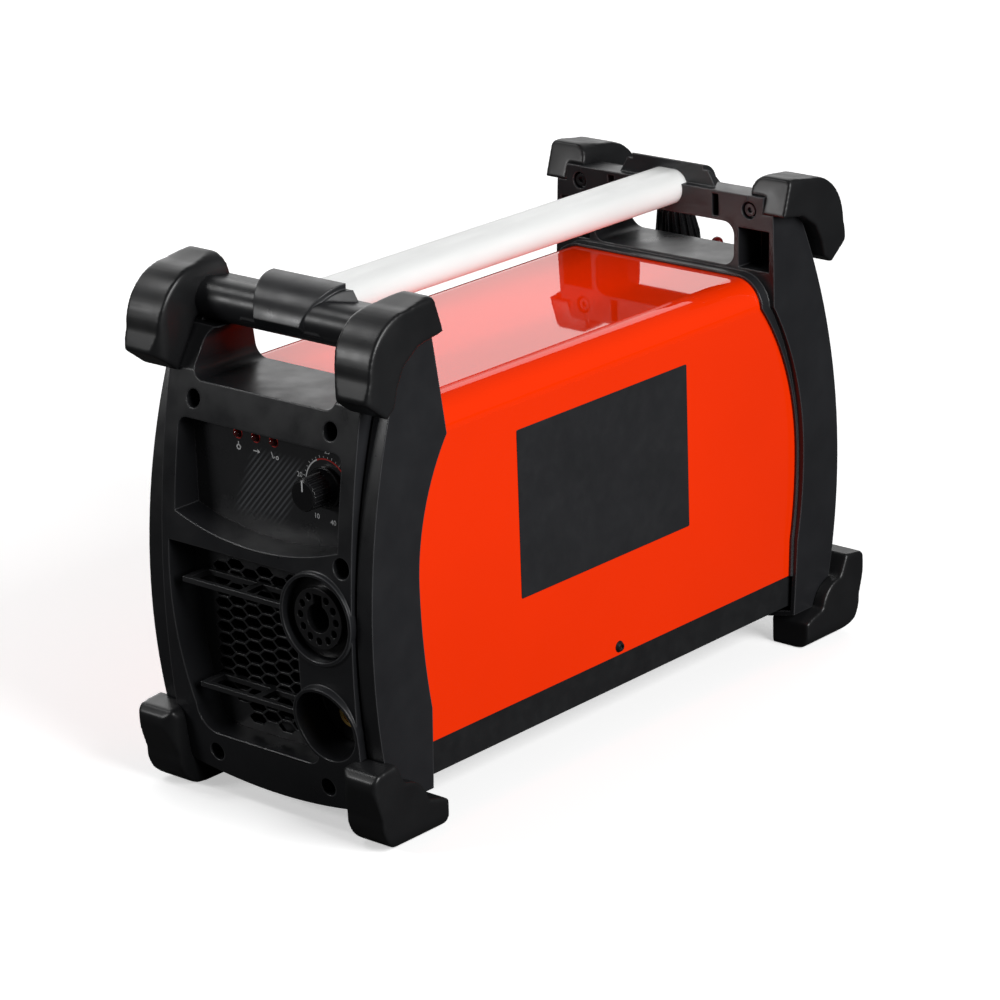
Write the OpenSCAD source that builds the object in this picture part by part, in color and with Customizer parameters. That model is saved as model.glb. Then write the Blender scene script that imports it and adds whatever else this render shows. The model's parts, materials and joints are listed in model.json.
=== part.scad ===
// Portable plasma cutter unit: two moulded end frames, eight corner bumpers,
// a folded steel cover on a steel pan, a tube handle, and the power stage inside.
// X runs to the right as seen from the control side, the control side faces -Y, Z is up.
// The origin lies on the ground under the middle of the unit.

/* [Overall] */
// Width over the bumpers
overall_w = 184; // [176:1:200]
// Length over the lower bumpers
overall_l = 451; // [445:1:480]
// Height from the ground to the top of the front bumpers
overall_h = 305; // [302:1:312]

/* [Bumpers] */
// How far a bumper stands out from the frame's flank
bumper_side = 9.6; // [8:0.2:11]
// How much less the front upper bumpers reach out than the lower ones
front_setback = 8; // [5:0.5:10]
// How much less the rear upper bumpers reach out than the lower ones
rear_setback = 17; // [14:0.5:19]
// How much lower the rear upper bumpers end than the front ones
rear_drop = 5; // [2:0.5:6]
// Width of a bumper across the unit
bumper_w = 28; // [24:1:30]
// Radius of a bumper's outer corner seen from the side
bumper_round = 32; // [26:1:34]
// Radius of a bumper's outward edges
bumper_edge = 4; // [2:0.5:6]
// Radius of a bumper's inward edges
bumper_inner_edge = 10; // [6:0.5:12]

/* [End frames] */
// How far the front cheeks stay inside the lower bumpers' ends
front_inset = 11.5; // [10.5:0.5:14]
// How far the rear cheeks stay inside the lower bumpers' ends
rear_inset = 19; // [17.5:0.5:21]
// Radius of the cheeks' bow
cheek_r = 380; // [360:5:420]
// How far the control face stays inside the lower bumpers' ends
face_inset = 9; // [7.5:0.5:10]
// Radius of the control face's bow
face_r = 600; // [550:10:700]
// Wall of the mouldings
frame_wall = 3; // [2.5:0.1:3.6]
// Sideways bulge of the flanks
flank_bow = 2.6; // [1.5:0.1:4]
// Radius of the frames' sagging lower edge
sag_r = 330; // [300:5:400]
// Height of the lower edge at the middle
sag_z = 11.5; // [10:0.5:13]
// Width of the columns beside the carrying window
column_w = 28.4; // [26.4:1:34.4]
// Height of the carrying window
window_h = 26.7; // [25.5:0.1:28]
// Radius of the window's corners
window_r = 8; // [5:0.5:12]
// Thickness of the floor under the window
window_floor = 3.5; // [3:0.1:4.5]
// Radius of the round bar over the front window
bar_r = 12; // [11:0.1:12.8]
// Distance of that bar's axis inside the lower bumpers' ends
bar_inset = 51; // [49.5:0.5:52.5]
// Rounding of the rail over the rear window
rail_r = 18; // [16:0.5:19]
// Radius of the saddle over the handle tube's end
saddle_r = 26; // [25:0.5:28]
// Half width of the saddle's top
saddle_half = 27; // [24:0.5:29]
// How much wider the saddle's foot is on each side
saddle_flare = 9.6; // [6:0.2:12]
// Radius of the saddle's sides seen from above
saddle_bow = 44; // [40:1:60]
// Distance of the groove between face and cheek from the frame's flank
cheek_w = 10.2; // [9:0.1:12]
// Width of that groove
groove_w = 2; // [1.5:0.1:3]
// Depth of that groove
groove_d = 2; // [1:0.1:2.5]

/* [Cover and pan] */
// Play between the cover and the frames
cover_slip = 0.4; // [0.3:0.1:0.8]
// Sheet of the cover
cover_t = 1.2; // [1:0.1:1.6]
// Distance of the cover's top below the front bumpers' top
cover_drop = 65.5; // [64:0.5:69]
// Height of the cover's lower edge
cover_low = 47; // [45:0.5:50]
// Radius of the cover's upper bends
cover_bend = 18; // [12:0.5:22]
// How far the cover's ends stay inside the end panels
cover_inset = 4; // [3:0.5:9]
// Sheet of the pan and of the end panels
pan_t = 1.5; // [1.2:0.1:2]
// Height of the pan's underside
pan_low = 27; // [26:0.5:29]
// Height of the pan's side flanges
pan_side = 35; // [30:1:40]
// How far the end panels stay inside the lower bumpers' ends
panel_inset = 43.5; // [41.5:0.5:44.5]

/* [Handle] */
// Width of the handle tube
tube_w = 30; // [26:0.5:34]
// Height of the handle tube
tube_h = 20.5; // [18:0.5:22]
// Wall of the handle tube
tube_t = 2.2; // [1.6:0.1:3]
// Distance of the handle tube's axis below the front bumpers' top
tube_drop = 20.4; // [19:0.2:22]
// How far the tube's front end stays inside the lower bumpers' ends
tube_front_inset = 54.5; // [53.5:1:59.5]
// How far the tube's rear end stays inside the lower bumpers' ends
tube_rear_inset = 65.5; // [64.5:1:70.5]
// Play round the tube in its sockets
tube_play = 0.2; // [0.1:0.05:0.3]

/* [Control panel] */
// Distance of the fascia in front of the front panel
fascia_out = 12.5; // [11:0.5:14]
// Thickness of the fascia
fascia_t = 1.5; // [1:0.1:2]
// Width of the face beside the control recess
recess_side = 10.2; // [8.2:0.5:16.2]
// Distance of the recess's upper edge below the cover's top
recess_drop = 17.5; // [16.5:0.5:20.5]
// Height of the recess at its middle
recess_h = 64; // [60:0.5:66]
// Radius of that curved lower edge
recess_r = 185; // [170:5:260]
// Distance of the current knob from the recess's right edge
knob_side = 24; // [21:0.5:28]
// Distance of the current knob's axis below the recess's upper edge
knob_drop = 25.5; // [22:0.5:30]
// Radius of the knob's grip
knob_r = 9; // [7.5:0.1:10]
// Radius of the knob's skirt
skirt_r = 12; // [11:0.1:13]
// Length of the knob
knob_l = 18; // [15:0.5:20]
// Radius of the potentiometer's shaft
shaft_r = 3; // [2.5:0.1:3.5]
// Radius of a status light
light_r = 2.3; // [1.5:0.1:3]
// Distance between the status lights
light_pitch = 13.6; // [10:0.2:15]

/* [Sockets] */
// Radius of the torch socket's collar
torch_r = 26.5; // [25:0.1:27]
// Distance of the torch socket's axis from the face's right edge
torch_side = 25.7; // [25.2:0.1:27.2]
// Height of the torch socket
torch_z = 128.5; // [126:0.5:131]
// Radius of the torch socket's insert
insert_r = 17.5; // [16:0.1:19]
// Radius of the torch socket's middle bore
torch_bore = 8.3; // [7:0.1:9]
// Number of contact holes round that bore
contact_count = 11; // [9:1:12]
// Radius of a contact hole
contact_r = 2.3; // [1.8:0.1:2.6]
// Radius of the work socket's collar
work_r = 23.5; // [22:0.1:25]
// Distance of the work socket's axis from the face's right edge
work_side = 24.2; // [23.2:0.1:26.2]
// Height of the work socket
work_z = 66; // [64:0.5:68]
// How far the work socket looks down
work_tilt = 12; // [8:1:15]
// Radius of the work socket's brass contact
brass_r = 6.8; // [6:0.1:7.5]
// Radius of the bore in the brass contact
brass_bore = 4.6; // [4:0.1:5]
// Wall of both collars
collar_wall = 2; // [1.6:0.1:2.6]

/* [Air grille] */
// Distance of the grille's front side from the front panel
grille_out = 13; // [11:0.5:15]
// Thickness of the grille
grille_t = 2.5; // [2:0.1:3]
// Width of the face beside the vent's left edge
vent_side = 5.2; // [3.2:0.5:8.2]
// Distance of the vent's right edge from the torch socket's axis
vent_gap = 15.5; // [13.5:0.5:18.5]
// Lower edge of the vent
vent_low = 39; // [37:0.5:42]
// Upper edge of the vent
vent_top = 151; // [149:0.5:153]
// Radius of the vent's bowed left edge
vent_r = 297; // [260:5:340]
// Distance between the columns of cells
cell_x = 11.2; // [10:0.1:13]
// Distance between the cells in a column
cell_z = 7.2; // [6.6:0.1:9]
// Width of the webs between cells
cell_web = 1.2; // [0.9:0.1:1.6]
// Height of the upper louvre
louvre_high = 129; // [127:0.5:131]
// Height of the lower louvre
louvre_low = 67.5; // [66:0.5:69]
// Thickness of a louvre
louvre_t = 3; // [2:0.1:4]

/* [Rear panel] */
// Size of the fan's square frame
fan_size = 119; // [112:1:120]
// Depth of the fan
fan_depth = 38; // [32:1:40]
// Height of the fan's axis
fan_z = 105; // [102:1:108]
// Number of fan blades
blade_count = 7; // [5:1:9]
// Clearance of the fan's and knob's turning parts on their shafts
run_gap = 0.06; // [0.03:0.01:0.1]
// Radius of the regulator's knob
reg_r = 14; // [12:0.5:14.5]
// Height of the regulator's knob
reg_h = 29; // [26:0.5:30]
// Lean of the regulator towards the unit
reg_lean = 8; // [4:1:9]
// Distance of the regulator to the left of the middle
reg_x = 37; // [34:0.5:39]
// How far the regulator's knob stays inside the lower bumpers' ends
reg_inset = 18; // [16.5:0.5:19.5]
// Number of flutes on the regulator's knob
flute_count = 16; // [10:1:20]
// Distance of switch and cable gland to the right of the middle
inlet_x = 38; // [34:0.5:42]
// Distance of the mains switch below the cover's top
switch_drop = 33.5; // [31.5:0.5:35.5]
// Distance of the cable gland below the mains switch
gland_drop = 30; // [28:0.5:32]
// Radius of the cable gland's bore
gland_bore = 5; // [4:0.1:6]

/* [Hidden] */

$fn = 64;
eps = 0.01;
big = 300;

// Places that follow from the sizes above
half_w = overall_w / 2;
low_reach = overall_l / 2;
front_reach = low_reach - front_inset;
rear_reach = low_reach - rear_inset;
face_reach = low_reach - face_inset;
bar_y0 = low_reach - bar_inset;
tube_front = low_reach - tube_front_inset;
tube_rear = low_reach - tube_rear_inset;
reg_y = low_reach - reg_inset;
frame_half = half_w - bumper_side;
window_half = frame_half - column_w;
groove_x = frame_half - cheek_w;
recess_half = groove_x - recess_side;
torch_x = groove_x - torch_side;
work_x = groove_x - work_side;
vent_left = vent_side - groove_x;
vent_right = torch_x - vent_gap;
flank_max = frame_half + flank_bow;
bumper_in = half_w - bumper_w;
column_top = overall_h - 15;
cover_top = overall_h - cover_drop;
tube_z = overall_h - tube_drop;
recess_top = cover_top - recess_drop;
recess_low = recess_top - recess_h;
knob_x = recess_half - knob_side;
knob_z = recess_top - knob_drop;
switch_z = cover_top - switch_drop;
gland_z = switch_z - gland_drop;
flank_mid = column_top / 2;
flank_r = (pow(flank_mid, 2) + pow(flank_bow, 2)) / (2 * flank_bow);
floor_z = cover_top + cover_slip + window_floor;
window_top = floor_z + window_h;
panel_out = low_reach - panel_inset;
panel_in = panel_out - pan_t;
cover_l = 2 * (panel_out - cover_inset);
fascia_y = panel_out + fascia_out;
grille_y = panel_out + grille_out;
pan_top = pan_low + pan_t;
cover_half = frame_half - frame_wall - cover_slip;
pan_half = cover_half - cover_t;
rib = 2.2;

// Height at which the cheeks and the face reach out furthest
cheek_z = cover_top - 122.5;
face_z = cheek_z - 5;

// Reach of the cheeks at either end, and of the control face, at height z
function cheek_max(front) = front ? front_reach : rear_reach;
function cheek_at(front, z) = cheek_max(front) - cheek_r + sqrt(pow(cheek_r, 2) - pow(z - cheek_z, 2));
function reach(z) = face_reach - face_r + sqrt(pow(face_r, 2) - pow(z - face_z, 2));

// Radius of an arc that falls off by d over the length h
function bow(h, d) = (pow(h, 2) + pow(d, 2)) / (2 * d);

// ---- helpers

// Extrudes an outline drawn in (y, z) across the unit
module across(x0, x1) {
    translate([x0, 0, 0])
        rotate([90, 0, 90])
            linear_extrude(x1 - x0)
                children();
}

// Extrudes an outline drawn in (x, z) along the unit
module along(y0, y1) {
    translate([0, y1, 0])
        rotate([90, 0, 0])
            linear_extrude(y1 - y0)
                children();
}

// A round bar along Y, from y0 to y1, at (x, z)
module bar_y(x, z, r, y0, y1) {
    translate([x, y1, z])
        rotate([90, 0, 0])
            cylinder(r = r, h = y1 - y0);
}

// A round bar along X, from x0 to x1, at (y, z)
module bar_x(y, z, r, x0, x1) {
    translate([x0, y, z])
        rotate([0, 90, 0])
            cylinder(r = r, h = x1 - x0);
}

// A rectangle with round corners, between two corner points
module round_box(a, b, r) {
    translate([a[0] + r, a[1]])
        square([b[0] - a[0] - 2 * r, b[1] - a[1]]);
    translate([a[0], a[1] + r])
        square([b[0] - a[0], b[1] - a[1] - 2 * r]);
    for (x = [a[0] + r, b[0] - r])
        for (y = [a[1] + r, b[1] - r])
            translate([x, y])
                circle(r);
}

// A flat oval of width w and height h round the origin
module flat_oval(w, h) {
    square([w - h, h], center = true);
    for (s = [-1, 1])
        translate([s * (w - h) / 2, 0])
            circle(h / 2);
}

// A copy on each side of the middle plane
module both_sides() {
    children();
    mirror([1, 0, 0])
        children();
}

// Turns a piece drawn for the rear end to the front end
module at_end(front) {
    mirror([0, front ? 1 : 0, 0])
        children();
}

// ---- end frame mouldings
// Both ends are drawn reaching out along +Y; at_end() turns the front one round.

// The cover's bay between the cheeks: how deep it goes, at which height, and
// how deep it still is at its foot
function bay_reach(front) = low_reach - (front ? 50.5 : 53.5);
function bay_z(front) = cheek_z + (front ? 25 : 11);
function bay_low(front) = low_reach - (front ? 57.5 : 59.5);
function bay_foot(front) = low_reach - (front ? 57 : 62.5);
function shoulder(front) = low_reach - (front ? 78 : 80.5);
bay_low_z = cheek_z - 47;
shoulder_z = cover_top - 16.5;

// The inner side of the columns leans out towards the top
function lean(front) = front ? 0.13 : 0.03;
function inner_at(front, z) = shoulder(front) + (z - shoulder_z) * lean(front);

module bay_arc(z, reach, r, z0, z1) {
    intersection() {
        translate([reach - r, z])
            circle(r, $fn = 180);
        translate([0, z0])
            square([big, z1 - z0]);
    }
}

// The bay's outline, smaller by inset at the shoulder and by a fifth of it below
module bay_side(front, inset = 0) {
    step = inset / 5;
    reach = bay_reach(front) - step;
    low = bay_low(front) - step;
    neck = shoulder(front) - inset;
    bay_arc(bay_z(front), reach, bow(shoulder_z - bay_z(front), reach - neck), bay_z(front), shoulder_z);
    bay_arc(bay_z(front), reach, bow(bay_z(front) - bay_low_z, reach - low), bay_low_z, bay_z(front));
    polygon([
        [0, -10], [bay_foot(front) - step, -10], [bay_foot(front) - step, 20],
        [low, bay_low_z + eps], [0, bay_low_z + eps]
    ]);
    polygon([
        [0, shoulder_z - eps], [neck, shoulder_z - eps],
        [inner_at(front, overall_h) - inset, overall_h], [0, overall_h]
    ]);
}

// The cheeks' outline from the side, inset by g
module cheek_side(front, g) {
    intersection() {
        translate([cheek_max(front) - cheek_r, cheek_z])
            circle(cheek_r - g, $fn = 240);
        square([big, column_top]);
    }
}

// The control face's outline from the side, inset by g, slanting back under the bar
pillar_slant = 22;

module face_side(g) {
    intersection() {
        translate([face_reach - face_r, face_z])
            circle(face_r - g, $fn = 240);
        polygon([
            [0, 0], [big, 0], [big, window_top - pillar_slant],
            [reach(window_top - pillar_slant), window_top - pillar_slant],
            [bar_y0 + bar_r, window_top], [0, window_top]
        ]);
    }
}

// The moulding's outline from the front, inset by g
module frame_front(g) {
    intersection() {
        translate([flank_max - flank_r, flank_mid])
            circle(flank_r - g, $fn = 360);
        translate([flank_r - flank_max, flank_mid])
            circle(flank_r - g, $fn = 360);
        translate([0, sag_z + sag_r])
            circle(sag_r - g, $fn = 180);
    }
}

// Outline of the control face between its two grooves, inset by g
groove_r = 5000;
groove_z = 170;

module face_block(g) {
    intersection() {
        across(-half_w, half_w)
            face_side(g);
        along(0, low_reach)
            intersection() {
                translate([groove_x - groove_r, groove_z])
                    circle(groove_r - g, $fn = 360);
                translate([groove_r - groove_x, groove_z])
                    circle(groove_r - g, $fn = 360);
                frame_front(g);
            }
    }
}

// The whole moulding before it is hollowed
module frame_blank(front) {
    difference() {
        union() {
            intersection() {
                across(-half_w, half_w)
                    cheek_side(front, 0);
                along(0, low_reach)
                    frame_front(0);
            }
            if (front)
                face_block(0);
        }
        across(-half_w, half_w)
            bay_side(front);
        translate([-bumper_in, 0, window_top])
            cube([2 * bumper_in, big, big]);
        translate([-bumper_in - tongue_wall, 0, tongue_z])
            cube([2 * (bumper_in + tongue_wall), big, big]);
        translate([-half_w, 0, top_height(front) - leg_h])
            cube([overall_w, shoulder(front) + tongue_back, big]);
    }
}

// Above this height the columns are tongues inside the bumpers
tongue_z = window_top + 7;
tongue_wall = 4;
tongue_back = 14;

// The room inside the moulding, open towards the unit
module frame_room(front) {
    intersection() {
        union() {
            intersection() {
                across(-half_w, half_w)
                    cheek_side(front, frame_wall);
                along(0, low_reach)
                    frame_front(frame_wall);
            }
            if (front)
                face_block(frame_wall);
        }
        translate([-half_w, 0, 0])
            cube([overall_w, big, cover_top + cover_slip]);
    }
}

// A rim closes the gap between cheek and cover; at the rear a thin lip reaches
// further over the cover's end
lip_t = 1.6;
lip_l = 7;
rim_l = 3;

module cover_lip(front) {
    intersection() {
        along(0, panel_out)
            difference() {
                cover_outline(-cover_slip - lip_t);
                cover_outline(-cover_slip);
                translate([-big, -1])
                    square([2 * big, cover_low + 1]);
            }
        across(-half_w, half_w)
            difference() {
                square([panel_out, floor_z]);
                bay_side(front, front ? 0 : lip_l);
            }
    }
    intersection() {
        along(0, panel_out)
            difference() {
                frame_front(0);
                cover_outline(-cover_slip);
                translate([-big, 0])
                    square([2 * big, cover_low]);
                translate([-big, floor_z])
                    square([2 * big, big]);
            }
        across(-half_w, half_w)
            difference() {
                translate([rim_l, 0])
                    bay_side(front);
                bay_side(front);
            }
    }
}

// What spans the window, seen from the side
function bridge_top(front) = window_top + (front ? 21 : rail_r);
rail_y = low_reach - 65.5;

module bridge_side(front) {
    if (front) {
        translate([bar_y0, window_top + bar_r])
            circle(bar_r, $fn = 96);
        polygon([
            [inner_at(front, window_top), window_top], [bar_y0, window_top],
            [bar_y0, window_top + 2 * bar_r], [inner_at(front, bridge_top(front)), bridge_top(front)]
        ]);
    } else {
        translate([inner_at(front, window_top), window_top])
            square([rail_y - inner_at(front, window_top), rail_r]);
        intersection() {
            translate([rail_y, window_top])
                circle(rail_r, $fn = 96);
            translate([rail_y, window_top])
                square(rail_r);
        }
    }
}

// Middle of the saddle's rounding over the tube, from the side, and the step
// at its back
function saddle_y(front) = low_reach - (front ? 62 : 78.5);
saddle_z = tube_z - 9.6;
saddle_step = 4.5;
// Slope of the front saddle's nose, which runs out into the bar
nose_slope = 38;

// The saddle from the side, lower by inset
module saddle_side(front, inset = 0) {
    r = saddle_r - inset;
    back = inner_at(front, bridge_top(front));
    intersection() {
        union() {
            translate([saddle_y(front), saddle_z])
                circle(r, $fn = 96);
            translate([0, saddle_z])
                square([saddle_y(front), r]);
            square([saddle_y(front) + r, saddle_z]);
        }
        polygon([
            [inner_at(front, window_top), window_top], [bar_y0, window_top],
            [bar_y0, saddle_z + 1], [big, saddle_z + 1],
            [big, big + 10], [back + saddle_step, big + 10],
            [back + saddle_step, bridge_top(front)], [back, bridge_top(front)]
        ]);
        translate([bar_y0, window_top + bar_r])
            rotate(-nose_slope)
                translate([-2 * big, -2 * big])
                    square([2 * big + (front ? bar_r : big), 4 * big]);
    }
}

// How the flare at the saddle's foot lies
flare_drop = 3;
flare_turn = 31;
flare_rise = 28;

// The saddle that holds the tube's end: round over the tube, bowed at its
// sides, with a slanting flare down to the bar
module saddle(front) {
    back = inner_at(front, bridge_top(front)) + saddle_step;
    foot = saddle_half + saddle_flare;
    intersection() {
        across(-saddle_half, saddle_half)
            saddle_side(front);
        linear_extrude(big + 10)
            intersection() {
                translate([saddle_half - saddle_bow, back])
                    circle(saddle_bow, $fn = 180);
                translate([saddle_bow - saddle_half, back])
                    circle(saddle_bow, $fn = 180);
            }
    }
    difference() {
        across(-foot, foot)
            saddle_side(front, flare_drop);
        both_sides()
            translate([foot, back, bridge_top(front)])
                rotate([0, -flare_rise, flare_turn])
                    translate([0, -big, -big])
                        cube(2 * big);
    }
}

// The rail's inner wall runs on in front of the bumpers' legs; seen from the
// side, down to depth y in front of it
rail_end = half_w - 16.5;
wall_t = 4;

module rail_wall(front, y = 0) {
    z0 = tongue_z - 1;
    z1 = bridge_top(front);
    across(-rail_end, rail_end)
        polygon([
            [inner_at(front, z0) - y, z0], [inner_at(front, z0) + wall_t, z0],
            [inner_at(front, z1) + wall_t, z1], [inner_at(front, z1) - y, z1]
        ]);
}

// Pockets that leave ribs on the inner side of the rail and in the columns
pocket_w = 5;

module rail_pockets(front) {
    y0 = inner_at(front, window_top) - 1;
    both_sides() {
        translate([saddle_half + saddle_flare + 1, y0, window_top + rib])
            cube([pocket_w, 14, rail_r - 2 * rib]);
        translate([window_half + rib + 1, 0, floor_z])
            cube([
                frame_half - window_half - 2 * rib - 1,
                cheek_at(front, window_top) - 2 * frame_wall,
                window_top - floor_z - rib
            ]);
    }
}

// A lug of each upper bumper reaches into the rail, where a screw holds it
lug_x = bumper_in - 10;
lug_y = 8;
lug_t = 5;
lug_low = 4;
lug_high = 6;
lug_root = 8;
bumper_screw_x = bumper_in + 1;
bumper_screw_z = window_top + 9;

module bumper_lug(front) {
    translate([lug_x, inner_at(front, bumper_screw_z) + lug_y, bumper_screw_z - lug_low])
        cube([bumper_in - lug_x + lug_root, lug_t, lug_low + lug_high]);
}

module lug_screw_hole(front) {
    bar_y(bumper_screw_x, bumper_screw_z, screw_shank, 0, inner_at(front, bumper_screw_z) + 17);
}

// Grooves that part the cheeks from the control face
module face_grooves() {
    both_sides()
        intersection() {
            along(0, low_reach)
                difference() {
                    intersection() {
                        translate([groove_x - groove_r + groove_w, groove_z])
                            circle(groove_r, $fn = 360);
                        translate([0, sag_z])
                            square([half_w, floor_z + 8 - sag_z]);
                    }
                    translate([groove_x - groove_r, groove_z])
                        circle(groove_r, $fn = 360);
                }
            across(0, half_w)
                difference() {
                    square([big, big]);
                    translate([cheek_max(true) - cheek_r, cheek_z])
                        circle(cheek_r - groove_d, $fn = 240);
                }
        }
}

// Screw places on each end: [x, z]
top_screw = [groove_x - 20.5, cover_top - 6.5];
low_screw = [groove_x - 29.2, 27];
screw_well = 5.3;
screw_shank = 2;
screw_head = 3.8;
head_t = 3;

// Where a screw's head sits, measured out from the middle
head_seat = panel_out + 5;

module at_screws() {
    both_sides()
        for (p = [top_screw, low_screw])
            translate([p[0], 0, p[1]])
                children();
}

module end_frame(front) {
    difference() {
        union() {
            difference() {
                frame_blank(front);
                frame_room(front);
            }
            across(-bumper_in, bumper_in)
                bridge_side(front);
            rail_wall(front);
            saddle(front);
            intersection() {
                at_screws()
                    bar_y(0, 0, screw_well + rib, panel_out, low_reach);
                frame_blank(front);
            }
            pan_ledge();
            cover_lip(front);
        }
        along(0, big)
            round_box([-window_half, floor_z], [window_half, window_top], window_r);
        translate([0, front ? tube_front : tube_rear, tube_z])
            rotate([90, 0, 0])
                linear_extrude(big)
                    flat_oval(tube_w + 2 * tube_play, tube_h + 2 * tube_play);
        rail_pockets(front);
        both_sides() {
            bumper_lug(front);
            lug_screw_hole(front);
            bar_y(bumper_screw_x, bumper_screw_z, screw_well, 0, inner_at(front, bumper_screw_z) + wall_t);
        }
        at_screws() {
            bar_y(0, 0, screw_well, head_seat, big);
            bar_y(0, 0, screw_shank, 0, big);
        }
    }
}

// Rib on the lower wall that the pan's end stands on
module pan_ledge() {
    intersection() {
        translate([-rear_open[0], panel_in - 6, 0])
            cube([2 * rear_open[0], 6, pan_low]);
        along(0, low_reach)
            frame_front(0);
    }
}

// ---- front frame

recess_corner = 6;

module recess_outline(g) {
    intersection() {
        round_box(
            [-recess_half - g, recess_low - 20],
            [recess_half + g, recess_top + g],
            recess_corner
        );
        translate([0, recess_low + recess_r])
            circle(recess_r + g, $fn = 180);
    }
}

vent_bow_z = 140;
vent_corner = 15;
vent_end_r = 8;

// The vent: bowed on the left, with a round lower corner, and running on
// a little way under the work socket
module vent_outline(g) {
    left_low = vent_left + vent_r - sqrt(pow(vent_r, 2) - pow(vent_bow_z - vent_low - vent_corner, 2));
    intersection() {
        translate([vent_left + vent_r, vent_bow_z])
            circle(vent_r + g, $fn = 180);
        translate([vent_left - g, vent_low + vent_corner])
            square([vent_right - vent_left + 2 * g, vent_top + g - vent_low - vent_corner]);
    }
    translate([left_low + vent_corner, vent_low + vent_corner])
        circle(vent_corner + g);
    translate([left_low + vent_corner, vent_low - g])
        square([vent_right + g - left_low - vent_corner, vent_corner + g + eps]);
    translate([vent_right, vent_low + vent_end_r])
        circle(vent_end_r + g);
}

// The work socket's own frame: rim in the plane z = 0, facing +z
module at_work() {
    translate([work_x, -reach(work_z) - 1, work_z])
        rotate([90 + work_tilt, 0, 0])
            children();
}

module work_core(r) {
    at_work()
        translate([0, 0, -big / 2])
            cylinder(r = r, h = big);
}

// The contact sits low in the collar
contact_drop = 4.5;

module at_contact() {
    at_work()
        translate([0, -contact_drop, 0])
            children();
}

module contact_core(r) {
    at_contact()
        translate([0, 0, -big / 2])
            cylinder(r = r, h = big);
}

work_depth = 22;
torch_rim = face_reach + 1.5;
torch_floor = torch_rim - 9;
side_hole = [groove_x - 7.5, recess_low + 2.7];
side_hole_r = 6;
side_ring_r = side_hole_r + rib / 2;

// Everything that stands out round the openings of the control face
module face_collars() {
    intersection() {
        union() {
            along(-low_reach, -fascia_y)
                recess_outline(rib);
            along(-low_reach, -grille_y)
                vent_outline(rib);
        }
        at_end(true)
            frame_blank(true);
    }
    bar_y(torch_x, torch_z, torch_r, -torch_rim, -panel_out);
    intersection() {
        at_work()
            translate([0, 0, -work_depth - 8])
                cylinder(r = work_r, h = work_depth + 8);
        translate([-big, -big - panel_out, 0])
            cube([2 * big, big, big]);
    }
    bar_y(side_hole[0], side_hole[1], side_ring_r, -reach(side_hole[1]) + 1, -panel_out);
}

module front_frame() {
    color("#26282a")
        difference() {
            union() {
                at_end(true)
                    difference() {
                        end_frame(true);
                        face_grooves();
                    }
                face_collars();
            }
            along(-big, -fascia_y)
                recess_outline(0);
            difference() {
                along(-big, -grille_y)
                    vent_outline(0);
                bar_y(torch_x, torch_z, torch_r, -big, 0);
                work_core(work_r);
            }
            bar_y(torch_x, torch_z, torch_r - collar_wall, -big, -torch_floor);
            bar_y(torch_x, torch_z, insert_r + tube_play, -big, 0);
            at_work()
                translate([0, 0, -work_depth])
                    cylinder(r = work_r - collar_wall, h = big);
            contact_core(work_body_r + tube_play);
            bar_y(side_hole[0], side_hole[1], side_hole_r, -big, -head_seat);
            bar_y(side_hole[0], side_hole[1], screw_shank, -big, 0);
        }
}

// ---- rear frame

rear_open = [fan_size / 2 + 0.5, 42, cover_top - 13.5];

module rear_outline(g) {
    round_box(
        [-rear_open[0] - g, rear_open[1] - g],
        [rear_open[0] + g, rear_open[2] + g],
        10 + g
    );
}

module rear_frame() {
    color("#26282a")
        difference() {
            union() {
                end_frame(false);
                intersection() {
                    along(panel_out, low_reach)
                        rear_outline(rib);
                    frame_blank(false);
                }
            }
            along(panel_out - eps, big)
                rear_outline(0);
            at_regulator()
                translate([0, 0, -reg_body_h])
                    cylinder(r = reg_r + 1.5, h = reg_h + reg_body_h + 10);
        }
}

// ---- bumpers
// Drawn for one corner, reaching out along +Y on the right side.

function top_reach(front) = low_reach - (front ? front_setback : rear_setback);
function top_height(front) = overall_h - (front ? 0 : rear_drop);

leg_l = 64;
leg_h = 22;
chin = 59;

// Upper bumper from the side, with its outer top corner at the origin
module top_bumper_side() {
    difference() {
        union() {
            polygon([
                [-leg_l + 1, -leg_h], [-leg_l + 8, -0.5], [-leg_l + 12, 0],
                [-bumper_round - 3.5, -3], [-3.5, -bumper_round - 3], [0, -47],
                [-16, -chin], [-24, -54]
            ]);
            translate([-bumper_round - 3.5, -bumper_round - 3])
                intersection() {
                    circle(bumper_round, $fn = 96);
                    square(bumper_round + 1);
                }
        }
        // the inner corner of the L
        polygon([
            [-leg_l - 1, -leg_h], [-leg_l + 3, -leg_h], [-43, -25], [-31, -33], [-25, -44],
            [-22.5, -54], [-16, -chin], [-16, -chin - 2], [-leg_l - 1, -chin - 2]
        ]);
    }
}

foot_round = 19;
foot_lean = 6;
foot_edge = 9;

// Lower bumper from the side: foot on the ground, outer end at y = 0
module low_bumper_side() {
    polygon([
        [-60, 0], [-foot_lean - foot_round, 0], [-foot_lean, foot_round + 2],
        [0, 40], [-0.5, 45], [-4, 49], [-19, 51],
        [-27, 35], [-39, 23.5], [-54, 19.5], [-60, 17]
    ]);
    translate([-foot_lean - foot_round, foot_round])
        circle(foot_round, $fn = 96);
}

// A bumper's outline from above and from the front, with its outer corner at the origin
module bumper_edges(l) {
    difference() {
        translate([-bumper_w, -l])
            square([bumper_w, l]);
        translate([-bumper_edge, -bumper_edge])
            corner_cut(bumper_edge);
        translate([-bumper_w + bumper_inner_edge, -bumper_inner_edge])
            mirror([1, 0])
                corner_cut(bumper_inner_edge);
    }
}

// What lies outside a rounding of radius r in the upper right quarter
module corner_cut(r) {
    difference() {
        square(r + 1);
        circle(r);
    }
}

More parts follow.
